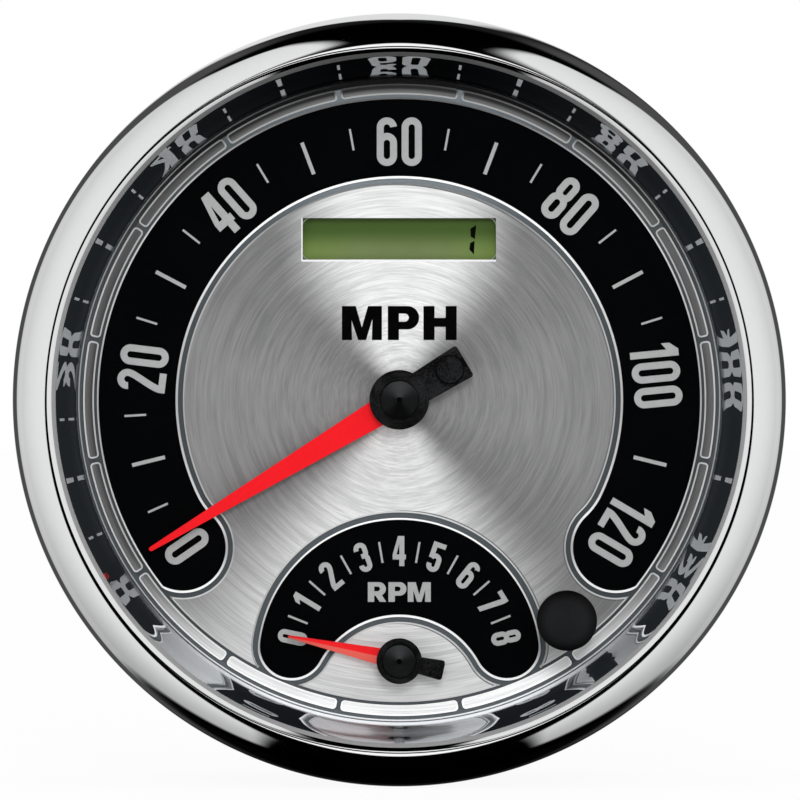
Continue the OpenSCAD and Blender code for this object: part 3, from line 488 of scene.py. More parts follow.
def from_axis(tree, axis):
    """The place being shaded, from an axis square to the dial, given by its x and height in millimetres."""
    return vector_maths("SUBTRACT", place_in(tree), (axis[0] * MM, 0.0, axis[1] * MM))


def noise(vector, scale, detail=2.0, roughness=0.5):
    """Noise from 0 to 1."""
    return Value(new_node(vector.tree, "ShaderNodeTexNoise", Vector=vector, Scale=scale, Detail=detail,
                          Roughness=roughness).outputs[0])


def new_group(name, inputs, outputs):
    """An empty node group, what it is given by name, and the node that takes its results; the
    inputs and outputs are named with their kinds."""
    group = bpy.data.node_groups.new(name, "ShaderNodeTree")
    for in_out, sockets in (("INPUT", inputs), ("OUTPUT", outputs)):
        for key, kind in sockets.items():
            group.interface.new_socket(key, in_out=in_out, socket_type="NodeSocket" + kind)
    given = {out.name: Value(out) for out in group.nodes.new("NodeGroupInput").outputs if out.name}
    return group, given, group.nodes.new("NodeGroupOutput")


def new_effect(name, *values):
    """An empty effect with a vector, the colours and roughnesses it runs between, and named values."""
    inputs = {"Vector": "Vector", "Dark": "Color", "Light": "Color"}
    inputs.update(dict.fromkeys(("Rough low", "Rough high") + values, "Float"))
    return new_group(name, inputs, {"Color": "Color", "Roughness": "Float", "Height": "Float"})


def close_effect(given, result, shade, height):
    """Turns a share from 0 to 1 into the effect's colour and roughness, and a share into its height."""
    fill(result, blended(shade, given["Dark"], given["Light"]),
         between(shade, given["Rough low"], given["Rough high"]), height)


def grain_effect():
    """Fine moulded or painted grain: two noises, one small and one broad, laid over each other."""
    group, given, result = new_effect("fine_grain", "Scale", "Contrast")
    small = noise(given["Vector"], given["Scale"], 4.0)
    broad = noise(given["Vector"], given["Scale"] * 0.06)
    shade = (broad * 0.4 + small * 0.6 - 0.5) * given["Contrast"] + 0.5
    shade.socket.node.use_clamp = True
    close_effect(given, result, shade, small)
    return group


def brushing_effect():
    """Fine lines in circles about the dial's axis: noise read at (radius, sine and cosine of
    the angle), tight across the lines and long along them."""
    group, given, result = new_effect("ring_brushing", "Lines", "Length")
    x, _, z = parts(given["Vector"])
    angle = maths("ARCTAN2", x, z)
    at = Value(fill(group.nodes.new("ShaderNodeCombineXYZ"), length_of(x, z) * given["Lines"],
                    maths("SINE", angle) * given["Length"],
                    maths("COSINE", angle) * given["Length"]).outputs[0])
    lines = noise(at, 1.0, 4.0, 0.65) * 0.65 + noise(at, 0.3) * 0.35
    close_effect(given, result, lines.step(0.36, 0.64), lines)
    return group


def spangle_effect():
    """Plated sheet: crystals of differing brightness, each a Voronoi cell."""
    group, given, result = new_effect("plating_spangle", "Scale")
    cells = new_node(group, "ShaderNodeTexVoronoi", Vector=given["Vector"], Scale=given["Scale"])
    tints = new_node(group, "ShaderNodeSeparateColor", Color=Value(cells.outputs["Color"]))
    shade = Value(tints.outputs[0]) * 0.6 + noise(given["Vector"], given["Scale"] * 3.0, 4.0) * 0.4
    close_effect(given, result, shade, shade)
    return group


def winding_effect():
    """Wound wire: a wave across the turns, with its height a row of round wires."""
    group, given, result = new_effect("wound_wire", "Turns")
    wave = new_node(group, "ShaderNodeTexWave", bands_direction="DIAGONAL", Vector=given["Vector"],
                    Scale=given["Turns"], Distortion=0.4, Detail=1.0)
    shade = Value(wave.outputs["Fac"])
    close_effect(given, result, shade, shade)
    return group


def sweep_group():
    """How the studio's light falls round the dial, as masks for painted light and shade: by the heading
    from the dial's centre, narrow ones at the top and the foot, one on each flank and broad ones for the
    upper and the lower half; then one for the right side, one that grows outwards on the rim's segments,
    and the distance from the centre."""
    masks = ("Top", "Foot", "Flank", "Upper", "Lower", "Right", "Outwards", "Radius")
    group, given, result = new_group("light_sweep", {"Vector": "Vector"}, dict.fromkeys(masks, "Float"))
    x, _, z = parts(given["Vector"])
    turn = abs(maths("ARCTAN2", x, z))
    radius = length_of(x, z)
    fill(result,
         (turn * radius.step(0.026, 0.036, 1.0, 1.28)).step(0.85, 0.26),
         (turn + x.step(0.004, -0.004, 0.0, 0.13)).step(2.30, 2.83),
         turn.step(0.9, 1.45) * turn.step(2.25, 1.75),
         turn.step(1.5, 0.0),
         turn.step(2.05, 2.80),
         x.step(0.0, 0.05),
         radius.step(0.0532, 0.0545),
         radius)
    return group


GRAIN = grain_effect()
SWEEP = sweep_group()
BRUSHING = brushing_effect()
SPANGLE = spangle_effect()
WINDING = winding_effect()
FINISH = {}
WHITE = (1.0, 1.0, 1.0)
SOFT_BUMP = (0.15, 0.00005)
EVEN_GLOSS = 0.5
LOW_GLOSS = 0.2


def finish(name, effect, dark, light, rough, bump, values, metallic=0.0, gloss=EVEN_GLOSS):
    """A Principled finish whose colour, roughness and fine height come from an effect group; it is
    kept under its name."""
    mat = FINISH[name] = bpy.data.materials.new(name)
    mat.use_nodes = True
    tree = mat.node_tree
    detail = new_node(tree, "ShaderNodeGroup", node_tree=effect, Vector=place_in(tree), Dark=dark,
                      Light=light, **{"Rough low": rough[0], "Rough high": rough[1]}, **values)
    color, roughness, height = (Value(out) for out in detail.outputs)
    set_shader(mat, {"Base Color": color, "Roughness": roughness, "Metallic": metallic,
                     "Specular IOR Level": gloss})
    if bump:
        relief = new_node(tree, "ShaderNodeBump", Strength=bump[0], Distance=bump[1], Height=height)
        set_shader(mat, {"Normal": Value(relief.outputs[0])})
    return mat


def grained(name, dark, light, rough, scale=1500.0, contrast=2.0, bump=SOFT_BUMP, metallic=0.0,
            gloss=EVEN_GLOSS):
    """A finish of fine grain."""
    values = {"Scale": scale, "Contrast": contrast}
    return finish(name, GRAIN, dark, light, rough, bump, values, metallic, gloss)


def smooth(name, dark, light, rough, **more):
    """A finish of fine grain in its colour and roughness alone."""
    return grained(name, dark, light, rough, bump=None, **more)


def shader_of(mat):
    """A finish's Principled shader."""
    return mat.node_tree.nodes["Principled BSDF"]


def set_shader(mat, inputs):
    """Puts values into a finish's shader by their names."""
    for key, value in inputs.items():
        put(shader_of(mat).inputs[key], value)


def base_of(mat):
    """The colour that goes into a finish's shader."""
    return Value(shader_of(mat).inputs["Base Color"].links[0].from_socket)


def shade_base(mat, level):
    """Multiplies a finish's base colour by a brightness, to paint light and shade into it."""
    set_shader(mat, {"Base Color": blended(1.0, base_of(mat), level, "MULTIPLY")})


def swept(mat, axis=(0.0, 0.0)):
    """The light sweep's masks, read round the dial's axis or another."""
    tree = mat.node_tree
    masks = new_node(tree, "ShaderNodeGroup", node_tree=SWEEP, Vector=from_axis(tree, axis))
    return SimpleNamespace(**{out.name.lower(): Value(out) for out in masks.outputs})


def plain_finishes():
    """The finishes that have one even tone."""
    bare = {"scale": 1200, "bump": (0.1, 0.00005), "metallic": 1.0}
    pebbled = {"contrast": 8.0, "gloss": 0.06}
    grained("seal_rubber", (0.022, 0.022, 0.022), (0.04, 0.04, 0.04), (0.6, 0.85))
    grained("stud_brass", (0.52, 0.38, 0.14), (0.70, 0.55, 0.27), (0.25, 0.5), **bare)
    grained("screw_steel", (0.50, 0.50, 0.50), (0.70, 0.70, 0.69), (0.25, 0.45), **bare)
    grained("guide_acrylic", (0.80, 0.84, 0.86), (0.88, 0.91, 0.93), (0.05, 0.15), 300)
    grained("chassis_white", (0.74, 0.74, 0.72), (0.84, 0.84, 0.82), (0.45, 0.6), 900)
    grained("holder_grey", (0.045, 0.06, 0.035), (0.075, 0.09, 0.06), (0.5, 0.7))
    grained("board_green", (0.010, 0.10, 0.04), (0.03, 0.17, 0.075), (0.2, 0.4), 700)
    grained("lamp_cream", (0.72, 0.66, 0.40), (0.86, 0.82, 0.60), (0.3, 0.5))
    grained("chip_black", (0.02, 0.02, 0.023), (0.04, 0.04, 0.045), (0.5, 0.7))
    grained("capacitor_blue", (0.035, 0.09, 0.25), (0.07, 0.15, 0.36), (0.25, 0.45))
    grained("socket_black", (0.016, 0.016, 0.018), (0.034, 0.034, 0.036), (0.45, 0.65), 1100)
    grained("button_rubber", (0.0055, 0.006, 0.0068), (0.0095, 0.010, 0.0112), (0.42, 0.6), 2200, gloss=0.12)
    grained("stem_nylon", (0.009, 0.009, 0.010), (0.015, 0.015, 0.016), (0.4, 0.6), gloss=LOW_GLOSS)
    grained("weight_black", (0.001, 0.001, 0.0012), (0.012, 0.0125, 0.0135), (0.4, 0.7), 3000,
            bump=(0.6, 0.0001), **pebbled)
    grained("bobbin_tan", (0.54, 0.40, 0.21), (0.68, 0.54, 0.33), (0.45, 0.65))
    grained("magnet_grey", (0.07, 0.07, 0.08), (0.14, 0.14, 0.15), (0.5, 0.7), 2000, 3.0)
    grained("hub_black", (0.0005, 0.0005, 0.0006), (0.015, 0.0155, 0.0165), (0.45, 0.7), 3600,
            bump=(0.7, 0.0001), **pebbled)
    smooth("bezel_chrome", (0.90, 0.905, 0.91), (0.94, 0.945, 0.95), (0.015, 0.04), scale=900, contrast=1.5,
           metallic=1.0)
    smooth("scale_black", (0.0006, 0.0008, 0.001), (0.0016, 0.0018, 0.0022), (0.5, 0.7), scale=1800,
           gloss=0.01)
    smooth("pin_tin", (0.55, 0.55, 0.53), (0.72, 0.72, 0.70), (0.2, 0.4), metallic=1.0)
    smooth("pin_gold", (0.64, 0.47, 0.16), (0.80, 0.62, 0.27), (0.15, 0.3), metallic=1.0)
    smooth("can_steel", (0.42, 0.43, 0.44), (0.58, 0.59, 0.60), (0.25, 0.45), scale=900, metallic=1.0)
    smooth("bush_brass", (0.58, 0.42, 0.15), (0.74, 0.58, 0.27), (0.2, 0.4), metallic=1.0)
    smooth("pointer_red", (0.73, 0.006, 0.011), (0.79, 0.009, 0.015), (0.35, 0.5), gloss=0.1)
    smooth("edge_shade", (0.10, 0.105, 0.11), (0.15, 0.155, 0.16), (0.5, 0.7), gloss=LOW_GLOSS)
    smooth("window_bright", (0.82, 0.825, 0.83), (0.95, 0.955, 0.96), (0.35, 0.45), metallic=0.2)
    smooth("holder_pale", (0.30, 0.36, 0.22), (0.38, 0.44, 0.28), (0.4, 0.6), gloss=LOW_GLOSS)
    smooth("mark_grey", (0.315, 0.32, 0.32), (0.37, 0.375, 0.375), (0.5, 0.7), gloss=LOW_GLOSS)
    smooth("mark_black", (0.0008, 0.0008, 0.0008), (0.002, 0.002, 0.002), (0.5, 0.7), gloss=0.01)
    smooth("crystal_ink", (0.0010, 0.0014, 0.0008), (0.0024, 0.003, 0.0018), (0.4, 0.5), gloss=0.02)
    finish("case_zinc", SPANGLE, (0.56, 0.57, 0.58), (0.68, 0.69, 0.70), (0.30, 0.44), (0.05, 0.0001),
           {"Scale": 260.0}, 1.0)
    finish("coil_copper", WINDING, (0.25, 0.07, 0.02), (0.62, 0.26, 0.10), (0.25, 0.4), (0.6, 0.0001),
           {"Turns": 900.0}, 0.8)


def brushed_dial():
    """Metal brushed in circles: its highlight spreads round the axis, so the tangent is the place crossed
    with the axis. A painted highlight makes it bright where the brushing lies level, at the top and the
    foot. The rim segments, which lean inwards on the real dial, get painted light and shade, from dark
    at the top to bright at the foot."""
    mat = finish("dial_brushed", BRUSHING, (0.715, 0.72, 0.725), (1.01, 1.01, 1.01), (0.36, 0.46),
                 (0.05, 0.00002), {"Lines": 3600.0, "Length": 4.0})
    light = swept(mat)
    # Painted light: the field's bright top and foot, and the segments' shade at the top and light at the foot
    field = 0.235 + 0.70 * light.top + 0.60 * light.foot + 0.075 * light.flank
    segment = (0.052 + 0.085 * light.outwards + 0.13 * light.upper - 0.34 * light.outwards * light.upper
               + light.lower + 0.02 * light.right)
    rim = light.radius.step(0.05265, 0.05275)
    shade_base(mat, between(rim, field, maths("MAXIMUM", segment, 0.003)))
    around = vector_maths("CROSS_PRODUCT", place_in(mat.node_tree), (0.0, 1.0, 0.0))
    set_shader(mat, {"Metallic": rim.step(0.0, 1.0, 0.3, 0.0), "Anisotropic": 0.7, "Tangent": around})


def drawn_edge(name):
    """The plain finish of a bright drawn edge."""
    return smooth(name, (0.94, 0.945, 0.95), WHITE, (0.30, 0.40), metallic=0.04)


def edge_bright(name, upright, level_run, dim_r, dim_to):
    """Bright drawn edge with a painted highlight, from one brightness where it runs upright to another
    where it runs level; outside a radius painted shade takes it down to a share of that at the top of the
    dial."""
    mat = drawn_edge(name)
    light = swept(mat)
    way = new_node(mat.node_tree, "ShaderNodeAttribute", attribute_name="along")
    along = parts(Value(way.outputs["Vector"]))[0]
    dim = light.upper * light.radius.step(dim_r - 0.0005, dim_r)
    shade_base(mat, abs(along).step(0.0, 1.0, upright, level_run) * dim.step(0.0, 1.0, 1.0, dim_to))


def rim_bright():
    """Bright edge of the rim's segments and line, which lean inwards: painted shade makes it dull at the
    top and a painted highlight makes it white at the foot.
    """
    mat = drawn_edge("rim_bright")
    light = swept(mat)
    edge = (0.48 + 0.12 * light.outwards - 0.06 * light.upper - 0.50 * light.outwards * light.upper
            + 0.60 * light.lower)
    line = maths("MAXIMUM", 0.42 - 0.42 * light.upper + 0.66 * light.lower, 0.012)
    shade_base(mat, between(light.radius.step(0.05485, 0.05495), edge, line))


def cone_satin(name, axis, foot):
    """Black satin of a hub's cone with painted light: a painted highlight makes it palest on the part of
    its slope that faces up; below its hole the painted light changes by a share."""
    mat = smooth(name, (0.006, 0.0063, 0.0066), (0.008, 0.0084, 0.0088), (0.45, 0.55), gloss=0.05)
    light = swept(mat, axis)
    shade_base(mat, 0.85 + 3.9 * light.upper + foot * light.lower)


def lip_bright():
    """Cut sheet metal: a satin edge, with painted shade that makes it dull at the top."""
    mat = smooth("lip_bright", (0.90, 0.91, 0.92), WHITE, (0.35, 0.5), scale=1200, metallic=0.1)
    shade_base(mat, 0.32 - 0.25 * swept(mat).upper)


def reflector_plate():
    """Bright plating with a faint blue cast, with painted light that makes it brighter in the lower half;
    painted shade darkens its foot but for the lowest part, which is matt and white as a painted highlight,
    and its sides carry a faint painted glow."""
    mat = smooth("reflector_chrome", (0.90, 0.93, 0.97), (0.95, 0.975, 1.0), (0.008, 0.02), scale=900,
                 contrast=1.5)
    light = swept(mat)
    foot = light.radius.step(0.05655, 0.05615)
    dim = 0.55 + 0.35 * light.upper - 0.55 * light.lower
    shade_base(mat, (0.66 + 0.33 * light.lower) * (1.0 - foot * dim))
    # Painted light: a faint emitted glow on the sides, though nothing there is a lamp
    painted_glow = 1.0 - light.upper - 0.4 * light.lower
    set_shader(mat, {"Metallic": 1.0 - foot * light.lower, "Emission Strength": 1.0,
                     "Emission Color": blended(painted_glow, (0.0, 0.0, 0.0), (0.010, 0.0125, 0.0145))})


def slate_plate():
    """Slate grey paint, with painted light that makes it paler at the top; painted shade makes the gutter
    outside the rim's segments go the other way, darker at the top.
    """
    mat = grained("dial_slate", (0.78, 0.90, 0.98), (0.90, 1.03, 1.12), (0.4, 0.6), 1800, gloss=LOW_GLOSS)
    light = swept(mat)
    level = 0.064 + 0.06 * light.upper + 0.09 * light.top + 0.03 * light.foot
    gutter = maths("MAXIMUM", 0.085 - 0.16 * light.upper + 0.04 * light.lower, 0.003)
    shade_base(mat, between(light.radius.step(0.05460, 0.05480), level, gutter))


def lens_clear():
    """Clear glass, with a faint roughness from wiping."""
    mat = smooth("lens_glass", (0.985, 0.99, 0.99), WHITE, (0.0, 0.004), scale=120, contrast=1.0)
    set_shader(mat, {"Transmission Weight": 1.0, "IOR": 1.15})


def crystal_green():
    """Reflective liquid crystal: olive green with a painted shadow under the window's upper edge, paler
    towards its two ends, with faint cells."""
    mat = smooth("lcd_green", (0.125, 0.168, 0.058), (0.180, 0.235, 0.092), (0.4, 0.55), scale=4000,
                 contrast=1.6, gloss=LOW_GLOSS)
    x, _, z = parts(place_in(mat.node_tree))
    paler = blended(abs(x).step(0.006, 0.0165), base_of(mat), (0.150, 0.225, 0.055))
    # The painted shadow under the window's upper edge
    set_shader(mat, {"Base Color": blended(z.step(0.0252, 0.0297), paler, (0.049, 0.091, 0.0155))})


def rev_red(d):
    """Red whose lower facet is paler by painted light: the place from the rev axis, measured across the
    blade's heading.
    """
    mat = smooth("rev_red", (0.72, 0.010, 0.014), (0.78, 0.014, 0.018), (0.35, 0.5), gloss=0.1)
    square = (np.cos(np.radians(d)), 0.0, -np.sin(np.radians(d)))
    across = vector_maths("DOT_PRODUCT", from_axis(mat.node_tree, REV_AXIS), square, output="Value")
    lower = across.step(0.00006, -0.00006)
    set_shader(mat, {"Base Color": blended(lower, base_of(mat), (0.80, 0.12, 0.095))})


def dark_rim(slot, node, start, end, share):
    """Paints shade on a round piece's finish towards its edge: by the place's distance from the piece's own
    axis.
    """
    low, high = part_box(node)
    middle = ((low.x + high.x) / 2 / MM, (low.z + high.z) / 2 / MM)
    reach = (high.x - low.x) / 2
    x, _, z = parts(from_axis(FINISH[slot].node_tree, middle))
    shade_base(FINISH[slot], length_of(x, z).step(start * reach, end * reach, 1.0, share))


plain_finishes()
# Painted shade on the button's domed edge and in the groove round the balance weight
dark_rim("button_rubber", "button_cap", 0.60, 1.0, 0.1)
dark_rim("weight_black", "speed_pointer_weight", 0.86, 0.94, 0.05)
brushed_dial()
slate_plate()
reflector_plate()
lens_clear()
crystal_green()
edge_bright("edge_bright", 0.42, 1.0, 0.0515, 0.13)
edge_bright("field_edge", 0.37, 0.62, 0.001, 0.3)
rim_bright()
lip_bright()

for node, obj in NODES.items():
    obj.data.materials.clear()
    obj.data.materials.append(FINISH[SLOT_OF[node]])


# Bezel, reflector and lens

def bezel_ring():
    """Chrome ring: a quarter ellipse from the shoulder up to the crest, a part of a small ellipse
    down to the cut edge, and the same lines set in by the sheet's thickness behind."""
    sheet, lip, drop, crest_r, rise, rolled_r = 0.9, 1.65, 1.2, 60.6, 5.9, 64.15
    shoulder = BEZEL_R - crest_r
    edge = sheet / 2
    low = CREST_Z - rise
    foot_z = front("lens_gasket")
    a = np.linspace(0, np.pi / 2, 97)
    b = np.linspace(-np.pi / 2, 0, 25)
    t = np.linspace(0, 0.63, 25)[1:]
    opening_r = crest_r - lip * np.sin(t[-1])
    profile = np.concatenate([
        [(rolled_r, 0.0)],
        oval(BEZEL_R - edge, edge, edge, edge, b),
        oval(crest_r, low, shoulder, rise, a),
        oval(crest_r, CREST_Z - drop, lip, drop, np.pi / 2 + t),
        [(opening_r + 0.03, foot_z), (opening_r + sheet, foot_z), (crest_r, CREST_Z - sheet)],
        oval(crest_r, low, shoulder - sheet, rise - sheet, a)[::-1][4:],
        [(BEZEL_R - sheet, sheet), (rolled_r, sheet)]])
    piece("bezel_ring", [turned(profile, RING_STEPS)], "bezel_chrome", stands_for=["bezel"],
          sharp=50)


def lip_edge():
    """The cut edge of the bezel's sheet: a bevel inside its lip, from the lip down to the lens gasket."""
    low = front("lens_gasket") + 0.02
    bevel = [(59.64, 8.77), (59.03, 8.06), (58.97, 7.96), (58.95, 7.86), (58.95, low), (59.9, low),
             (59.9, 8.6)]
    piece("lip_edge", [turned(bevel, RING_STEPS)], "lip_bright", sharp=50)


def reflector_wall():
    """Concave wall from the dial to the lens: its lean eases from 42 to 34 degrees, then back to 35.8."""
    foot_r, lift, edge_r, wall_t, curve_h, flange_r = 55.85, 0.8, 0.4, 0.7, 2.2, 62.1
    low_lean, mid_lean, high_lean = np.radians((42.0, 34.0, 35.8))
    wall_z = FACE_Z + lift
    height = LENS_Z - wall_z
    edge_z = wall_z - edge_r * np.sin(low_lean)
    edge = oval(foot_r + edge_r, edge_z, -edge_r, edge_r, np.linspace(0, low_lean, 9))
    steps = 56
    up = height * (np.arange(steps) + 1) / steps
    lean = np.interp(up - height / steps / 2, [0, curve_h, height], [low_lean, mid_lean, high_lean])
    r = edge[-1, 0] + np.cumsum(np.tan(lean)) * height / steps
    out_r = half_width("reflector_ring")
    flange_z = front("case_gasket")
    curve_r = np.interp(curve_h, up, r)
    profile = np.concatenate([
        [(foot_r, BASE_Z)], edge, np.stack([r, wall_z + up], -1),
        [(out_r, LENS_Z), (out_r, flange_z), (flange_r, flange_z), (curve_r + wall_t, wall_z + curve_h),
         (foot_r + wall_t, BASE_Z)]])
    piece("reflector_wall", [turned(profile, RING_STEPS)], "reflector_chrome",
          stands_for=["reflector_ring"], sharp=50)


# Borders of the dial's fields

def border_beads():
    """White beads round the two black fields, narrower along each field's outer arc; their finish paints
    light and shade on them.
    """
    wide, overlap = 0.44, 0.02
    shells = []
    for outline, axis, arc_r, narrow in ((speed_outline(0.0), (0, 0), SPEED_OUT_R, 0.32),
                                         (rev_outline(0.0), REV_AXIS, REV_OUT_R, 0.34)):
        out = leftward(outline)
        on_arc = np.linalg.norm(outline - axis, axis=1) > arc_r - 0.05
        width = np.where(on_arc, narrow, wide)
        width = (np.roll(width, 1) + np.roll(width, -1) + 2 * width) / 4
        shells.append(carried(outline + overlap * out, outline + width[:, None] * out,
                              flat_top(BASE_Z, FACE_Z + 0.12)))
    piece("border_beads", shells, "edge_bright")


def field_edges():
    """Closed loops round the brushed fields: the borders' runs inside the face, joined by arcs of its rim."""
    speed = run_inside(speed_outline(CHANNEL_W), FACE_R)[0]
    revs = sorted(run_inside(rev_outline(CHANNEL_W), FACE_R), key=lambda run: -run[:, 1].max())
    rev_top, rev_arch = revs[0], revs[1]
    rim = lambda start, end: arc((0, 0), FACE_R, heading(start) % 360, heading(end) % 360)
    loops = [[speed, rim(speed[-1], rev_top[0]), rev_top, rim(rev_top[-1], speed[0])],
             [rev_arch, rim(rev_arch[-1], rev_arch[0])]]
    return [thinned(np.concatenate(loop)) for loop in loops]


def field_edge_beads():
    """A light edge line with painted light round each brushed field and each rim segment, lying just
    inside it, and a fine dark line of painted shade beside it on the right, where the edge turns from
    the light; that one grows from the left."""
    line_w, shade_w, shade_from, growth = 0.28, 0.2, -3.0, 9.0
    line = flat_top(FACE_Z - 0.15, FACE_Z + 0.06)
    shade = flat_top(FACE_Z - 0.1, FACE_Z + 0.01, 0.02)
    shells, shades = [], []
    for loop in field_edges():
        area = np.sum(loop[:, 0] * np.roll(loop[:, 1], -1) - loop[:, 1] * np.roll(loop[:, 0], -1))
        inward = leftward(loop) * np.sign(area)
        inner = loop + line_w * inward
        shells.append(carried(loop, inner, line))
        sides = (loop[:, 0] > shade_from) & (np.linalg.norm(loop, axis=1) < FACE_R - 0.2)
        reach = line_w + shade_w * np.clip((loop[:, :1] - shade_from) / growth, 0.05, 1.0)
        runs = runs_where(sides, inner, loop + reach * inward)
        shades += [carried(near, far, shade, False) for near, far in runs]
    piece("field_edge_lines", shells, "field_edge")
    piece("field_edge_shades", shades, "edge_shade")
    pad = carried(segment_outline(-0.1), segment_outline(0.2), line)
    shells = []
    for d in np.arange(SEGMENTS) * 360 / SEGMENTS:
        points, quads, lids, along = moved(pad, (0, 0), d)
        shells.append((points, quads, lids, np.column_stack([turned_by(along[:, :2], d), along[:, 2]])))
    piece("segment_edge_lines", shells, "rim_bright")


def rim_line():
    """A painted highlight line round the slate plate, just inside the reflector's foot."""
    near, far = (arc((0, 0), r, 0, 360)[:-1] for r in (55.42, 55.72))
    piece("rim_line", [carried(near, far, crown(BASE_Z, BASE_Z + 0.4))], "rim_bright")


def window_frame():
    """A bevel down the left side and along the foot of the odometer's window, from the opening outwards,
    bright as a painted highlight where it faces the light."""
    w, h = WINDOW_W / 2, WINDOW_H / 2
    side_w, foot_w, overlap, top = 0.22, 0.34, 0.02, FACE_Z + 0.02
    corner = np.array([(-1, 1), (-1, -1), (1, -1)], float)
    near = WINDOW_AT + corner * (w - overlap, h - overlap)
    far = WINDOW_AT + corner * (w, h) + [(-side_w, 0), (-side_w, -foot_w), (0, -foot_w)]
    section = [(0, BASE_Z - 0.4), (0, FACE_Z - 0.1), (0.25, top), (1, top), (1, FACE_Z - 0.2)]
    piece("window_frame", [carried(near, far, section, False)], "window_bright", sharp=20)


def holder_edge():
    """The thin pale edge of the glass's holder: a round-cornered rectangle whose sides lie under the
    window's."""
    w, h, r = WINDOW_W / 2 + 0.1, WINDOW_H / 2 + 0.1, HOLDER_CORNER_R
    corner = [(w - r, h - r, 0), (w - r, r - h, 90), (r - w, r - h, 180), (r - w, h - r, 270)]
    path = np.concatenate([arc((x, y), r, d, d + 90, 8) for x, y, d in corner]) + WINDOW_AT
    z = front("lcd_holder")
    piece("holder_edge", [stroke(thinned(path), 0.15, z - 0.1, z + 0.01, True)], "holder_pale")


# Numbers, letters and ticks

def pen_arc(x, y, r, start, end, step=9):
    """Points of an arc, in degrees the other way round from the right."""
    return oval(x, y, r, r, np.radians(np.linspace(start, end, max(3, int(abs(end - start) / step) + 1))))


def bent(p0, p1, p2, p3, steps=14):
    """A cubic curve from the first point to the last, drawn towards the two between on its way."""
    s = np.linspace(0, 1, steps)[:, None]
    p0, p1, p2, p3 = (np.asarray(p, float) for p in (p0, p1, p2, p3))
    return (1 - s) ** 3 * p0 + 3 * s * (1 - s) ** 2 * p1 + 3 * s ** 2 * (1 - s) * p2 + s ** 3 * p3


def joined(*runs):
    """Runs of points put end to end, without doubled points."""
    return thinned(np.concatenate([np.asarray(run, float) for run in runs]), False)


def ring_path(low, high, a):
    """A closed upright ring between two heights: straight sides, a half circle of radius a at each end."""
    return thinned(np.concatenate([pen_arc(0, high - a, a, 180, 0), pen_arc(0, low + a, a, 0, -180)]))


def corners(x0, y0, x1, y1):
    """The corners of an upright rectangle."""
    return np.array([(x0, y0), (x1, y0), (x1, y1), (x0, y1)], float)


def ink(points):
    """A printed patch: a thin plate on the dial's face."""
    return plate(np.asarray(points, float), *INK_Z)


def number_width(figure, h, w, t):
    """How wide a figure is; the one is its stem and a short flag."""
    return t + ONE_FLAG * h if figure == "1" else w


def number_shells(figure, h, w, t):
    """One figure, 0 to 8, of height h, width w and pen width t, centred on x and standing on y = 0."""
    a, c, side = (w - t) / 2, t / 2, w / 2
    pen = lambda path, closed=False: stroke(path, t, *INK_Z, closed)
    bar = lambda *edges: ink(corners(*edges))
    if figure == "0":
        return [pen(ring_path(c, h - c, a), True)]
    if figure == "1":
        flag = ONE_FLAG * h
        points = np.array([(-c, 0), (c, 0), (c, h), (-c, h), (-c - flag, 0.826 * h), (-c - flag, 0.655 * h),
                           (-c, 0.756 * h)])
        return [ink(points + (flag / 2, 0))]
    if figure == "2":
        top = pen_arc(0, h - c - a, a, 192, -12)
        neck = bent(top[-1], top[-1] - (0.02 * h, 0.13 * h), (-a + 0.05 * h, 0.33 * h), (-a, 0.9 * t))
        return [pen(joined(top, neck)), bar(-side, 0, side - 0.01 * h, t)]
    if figure == "3":
        mid, q = 0.53 * h, 0.8 * a
        upper = joined([(-a, h - c - a - 0.03 * h)], pen_arc(0, h - c - a, a, 180, 0),
                       pen_arc(a - q, mid + q, q, 0, -90), [(-0.3 * a, mid)])
        lower = joined([(-0.3 * a, mid)], pen_arc(a - q, mid - q, q, 90, 0), pen_arc(0, c + a, a, 0, -180),
                       [(-a, c + a + 0.03 * h)])
        return [pen(upper), pen(lower)]
    if figure == "4":
        at = lambda x, y: (x * w - side, y * h)
        arm = [at(0, 0.30), at(0.29, 0.385), at(0.52, 0.78), at(0.52, 1), at(0.40, 1), at(0, 0.385)]
        return [bar(*at(0.50, 0), *at(0.88, 1)), bar(*at(0, 0.219), *at(1, 0.385)), ink(arm)]
    if figure == "5":
        bowl = joined(pen_arc(0, 0.63 * h - c - a, a, 165, 0), pen_arc(0, c + a, a, 0, -180),
                      [(-a, c + a + 0.04 * h)])
        return [bar(-side, h - t, side, h), bar(-side, 0.45 * h, t - side, h - 0.5 * t), pen(bowl)]
    if figure == "6":
        stop = np.degrees(np.arcsin((0.805 * h - (h - c - a)) / a))
        stem = joined([(-a, 0.25 * h)], pen_arc(0, h - c - a, a, 180, stop))
        return [pen(ring_path(c, 0.68 * h - c, a), True), pen(stem)]
    if figure == "7":
        foot, half, under = -0.14 * w, 0.52 * t, h - 0.8 * t
        leg = [(side - 1.05 * t, under), (foot - half, 0), (foot + half, 0), (side, h - 1.1 * t),
               (side, under)]
        return [bar(-side, h - t, side, h), ink(leg)]
    waist = 0.518 * h
    return [pen(ring_path(c, waist, a), True), pen(ring_path(waist, h - c, (0.914 * w - t) / 2), True)]


def number_label(text, h, w, t, gap, at, d):
    """A number set in a row, centred at a place, its top turned to heading d."""
    widths = np.array([number_width(f, h, w, t) for f in text])
    lefts = np.concatenate([[0], np.cumsum(widths + gap)[:-1]])
    middles = lefts + widths / 2 - (widths.sum() + gap * (len(text) - 1)) / 2
    return [moved(moved(lifted(one, k), (x, -h / 2)), at, d) for f, x in zip(text, middles)
            for k, one in enumerate(number_shells(f, h, w, t))]


def tick_shells(headings, inner, outer, width, centre):
    """Straight ticks on headings round a centre, each a thin plate between two radii."""
    tick = ink(corners(-width / 2, inner, width / 2, outer))
    return [moved(tick, centre, d) for d in headings]


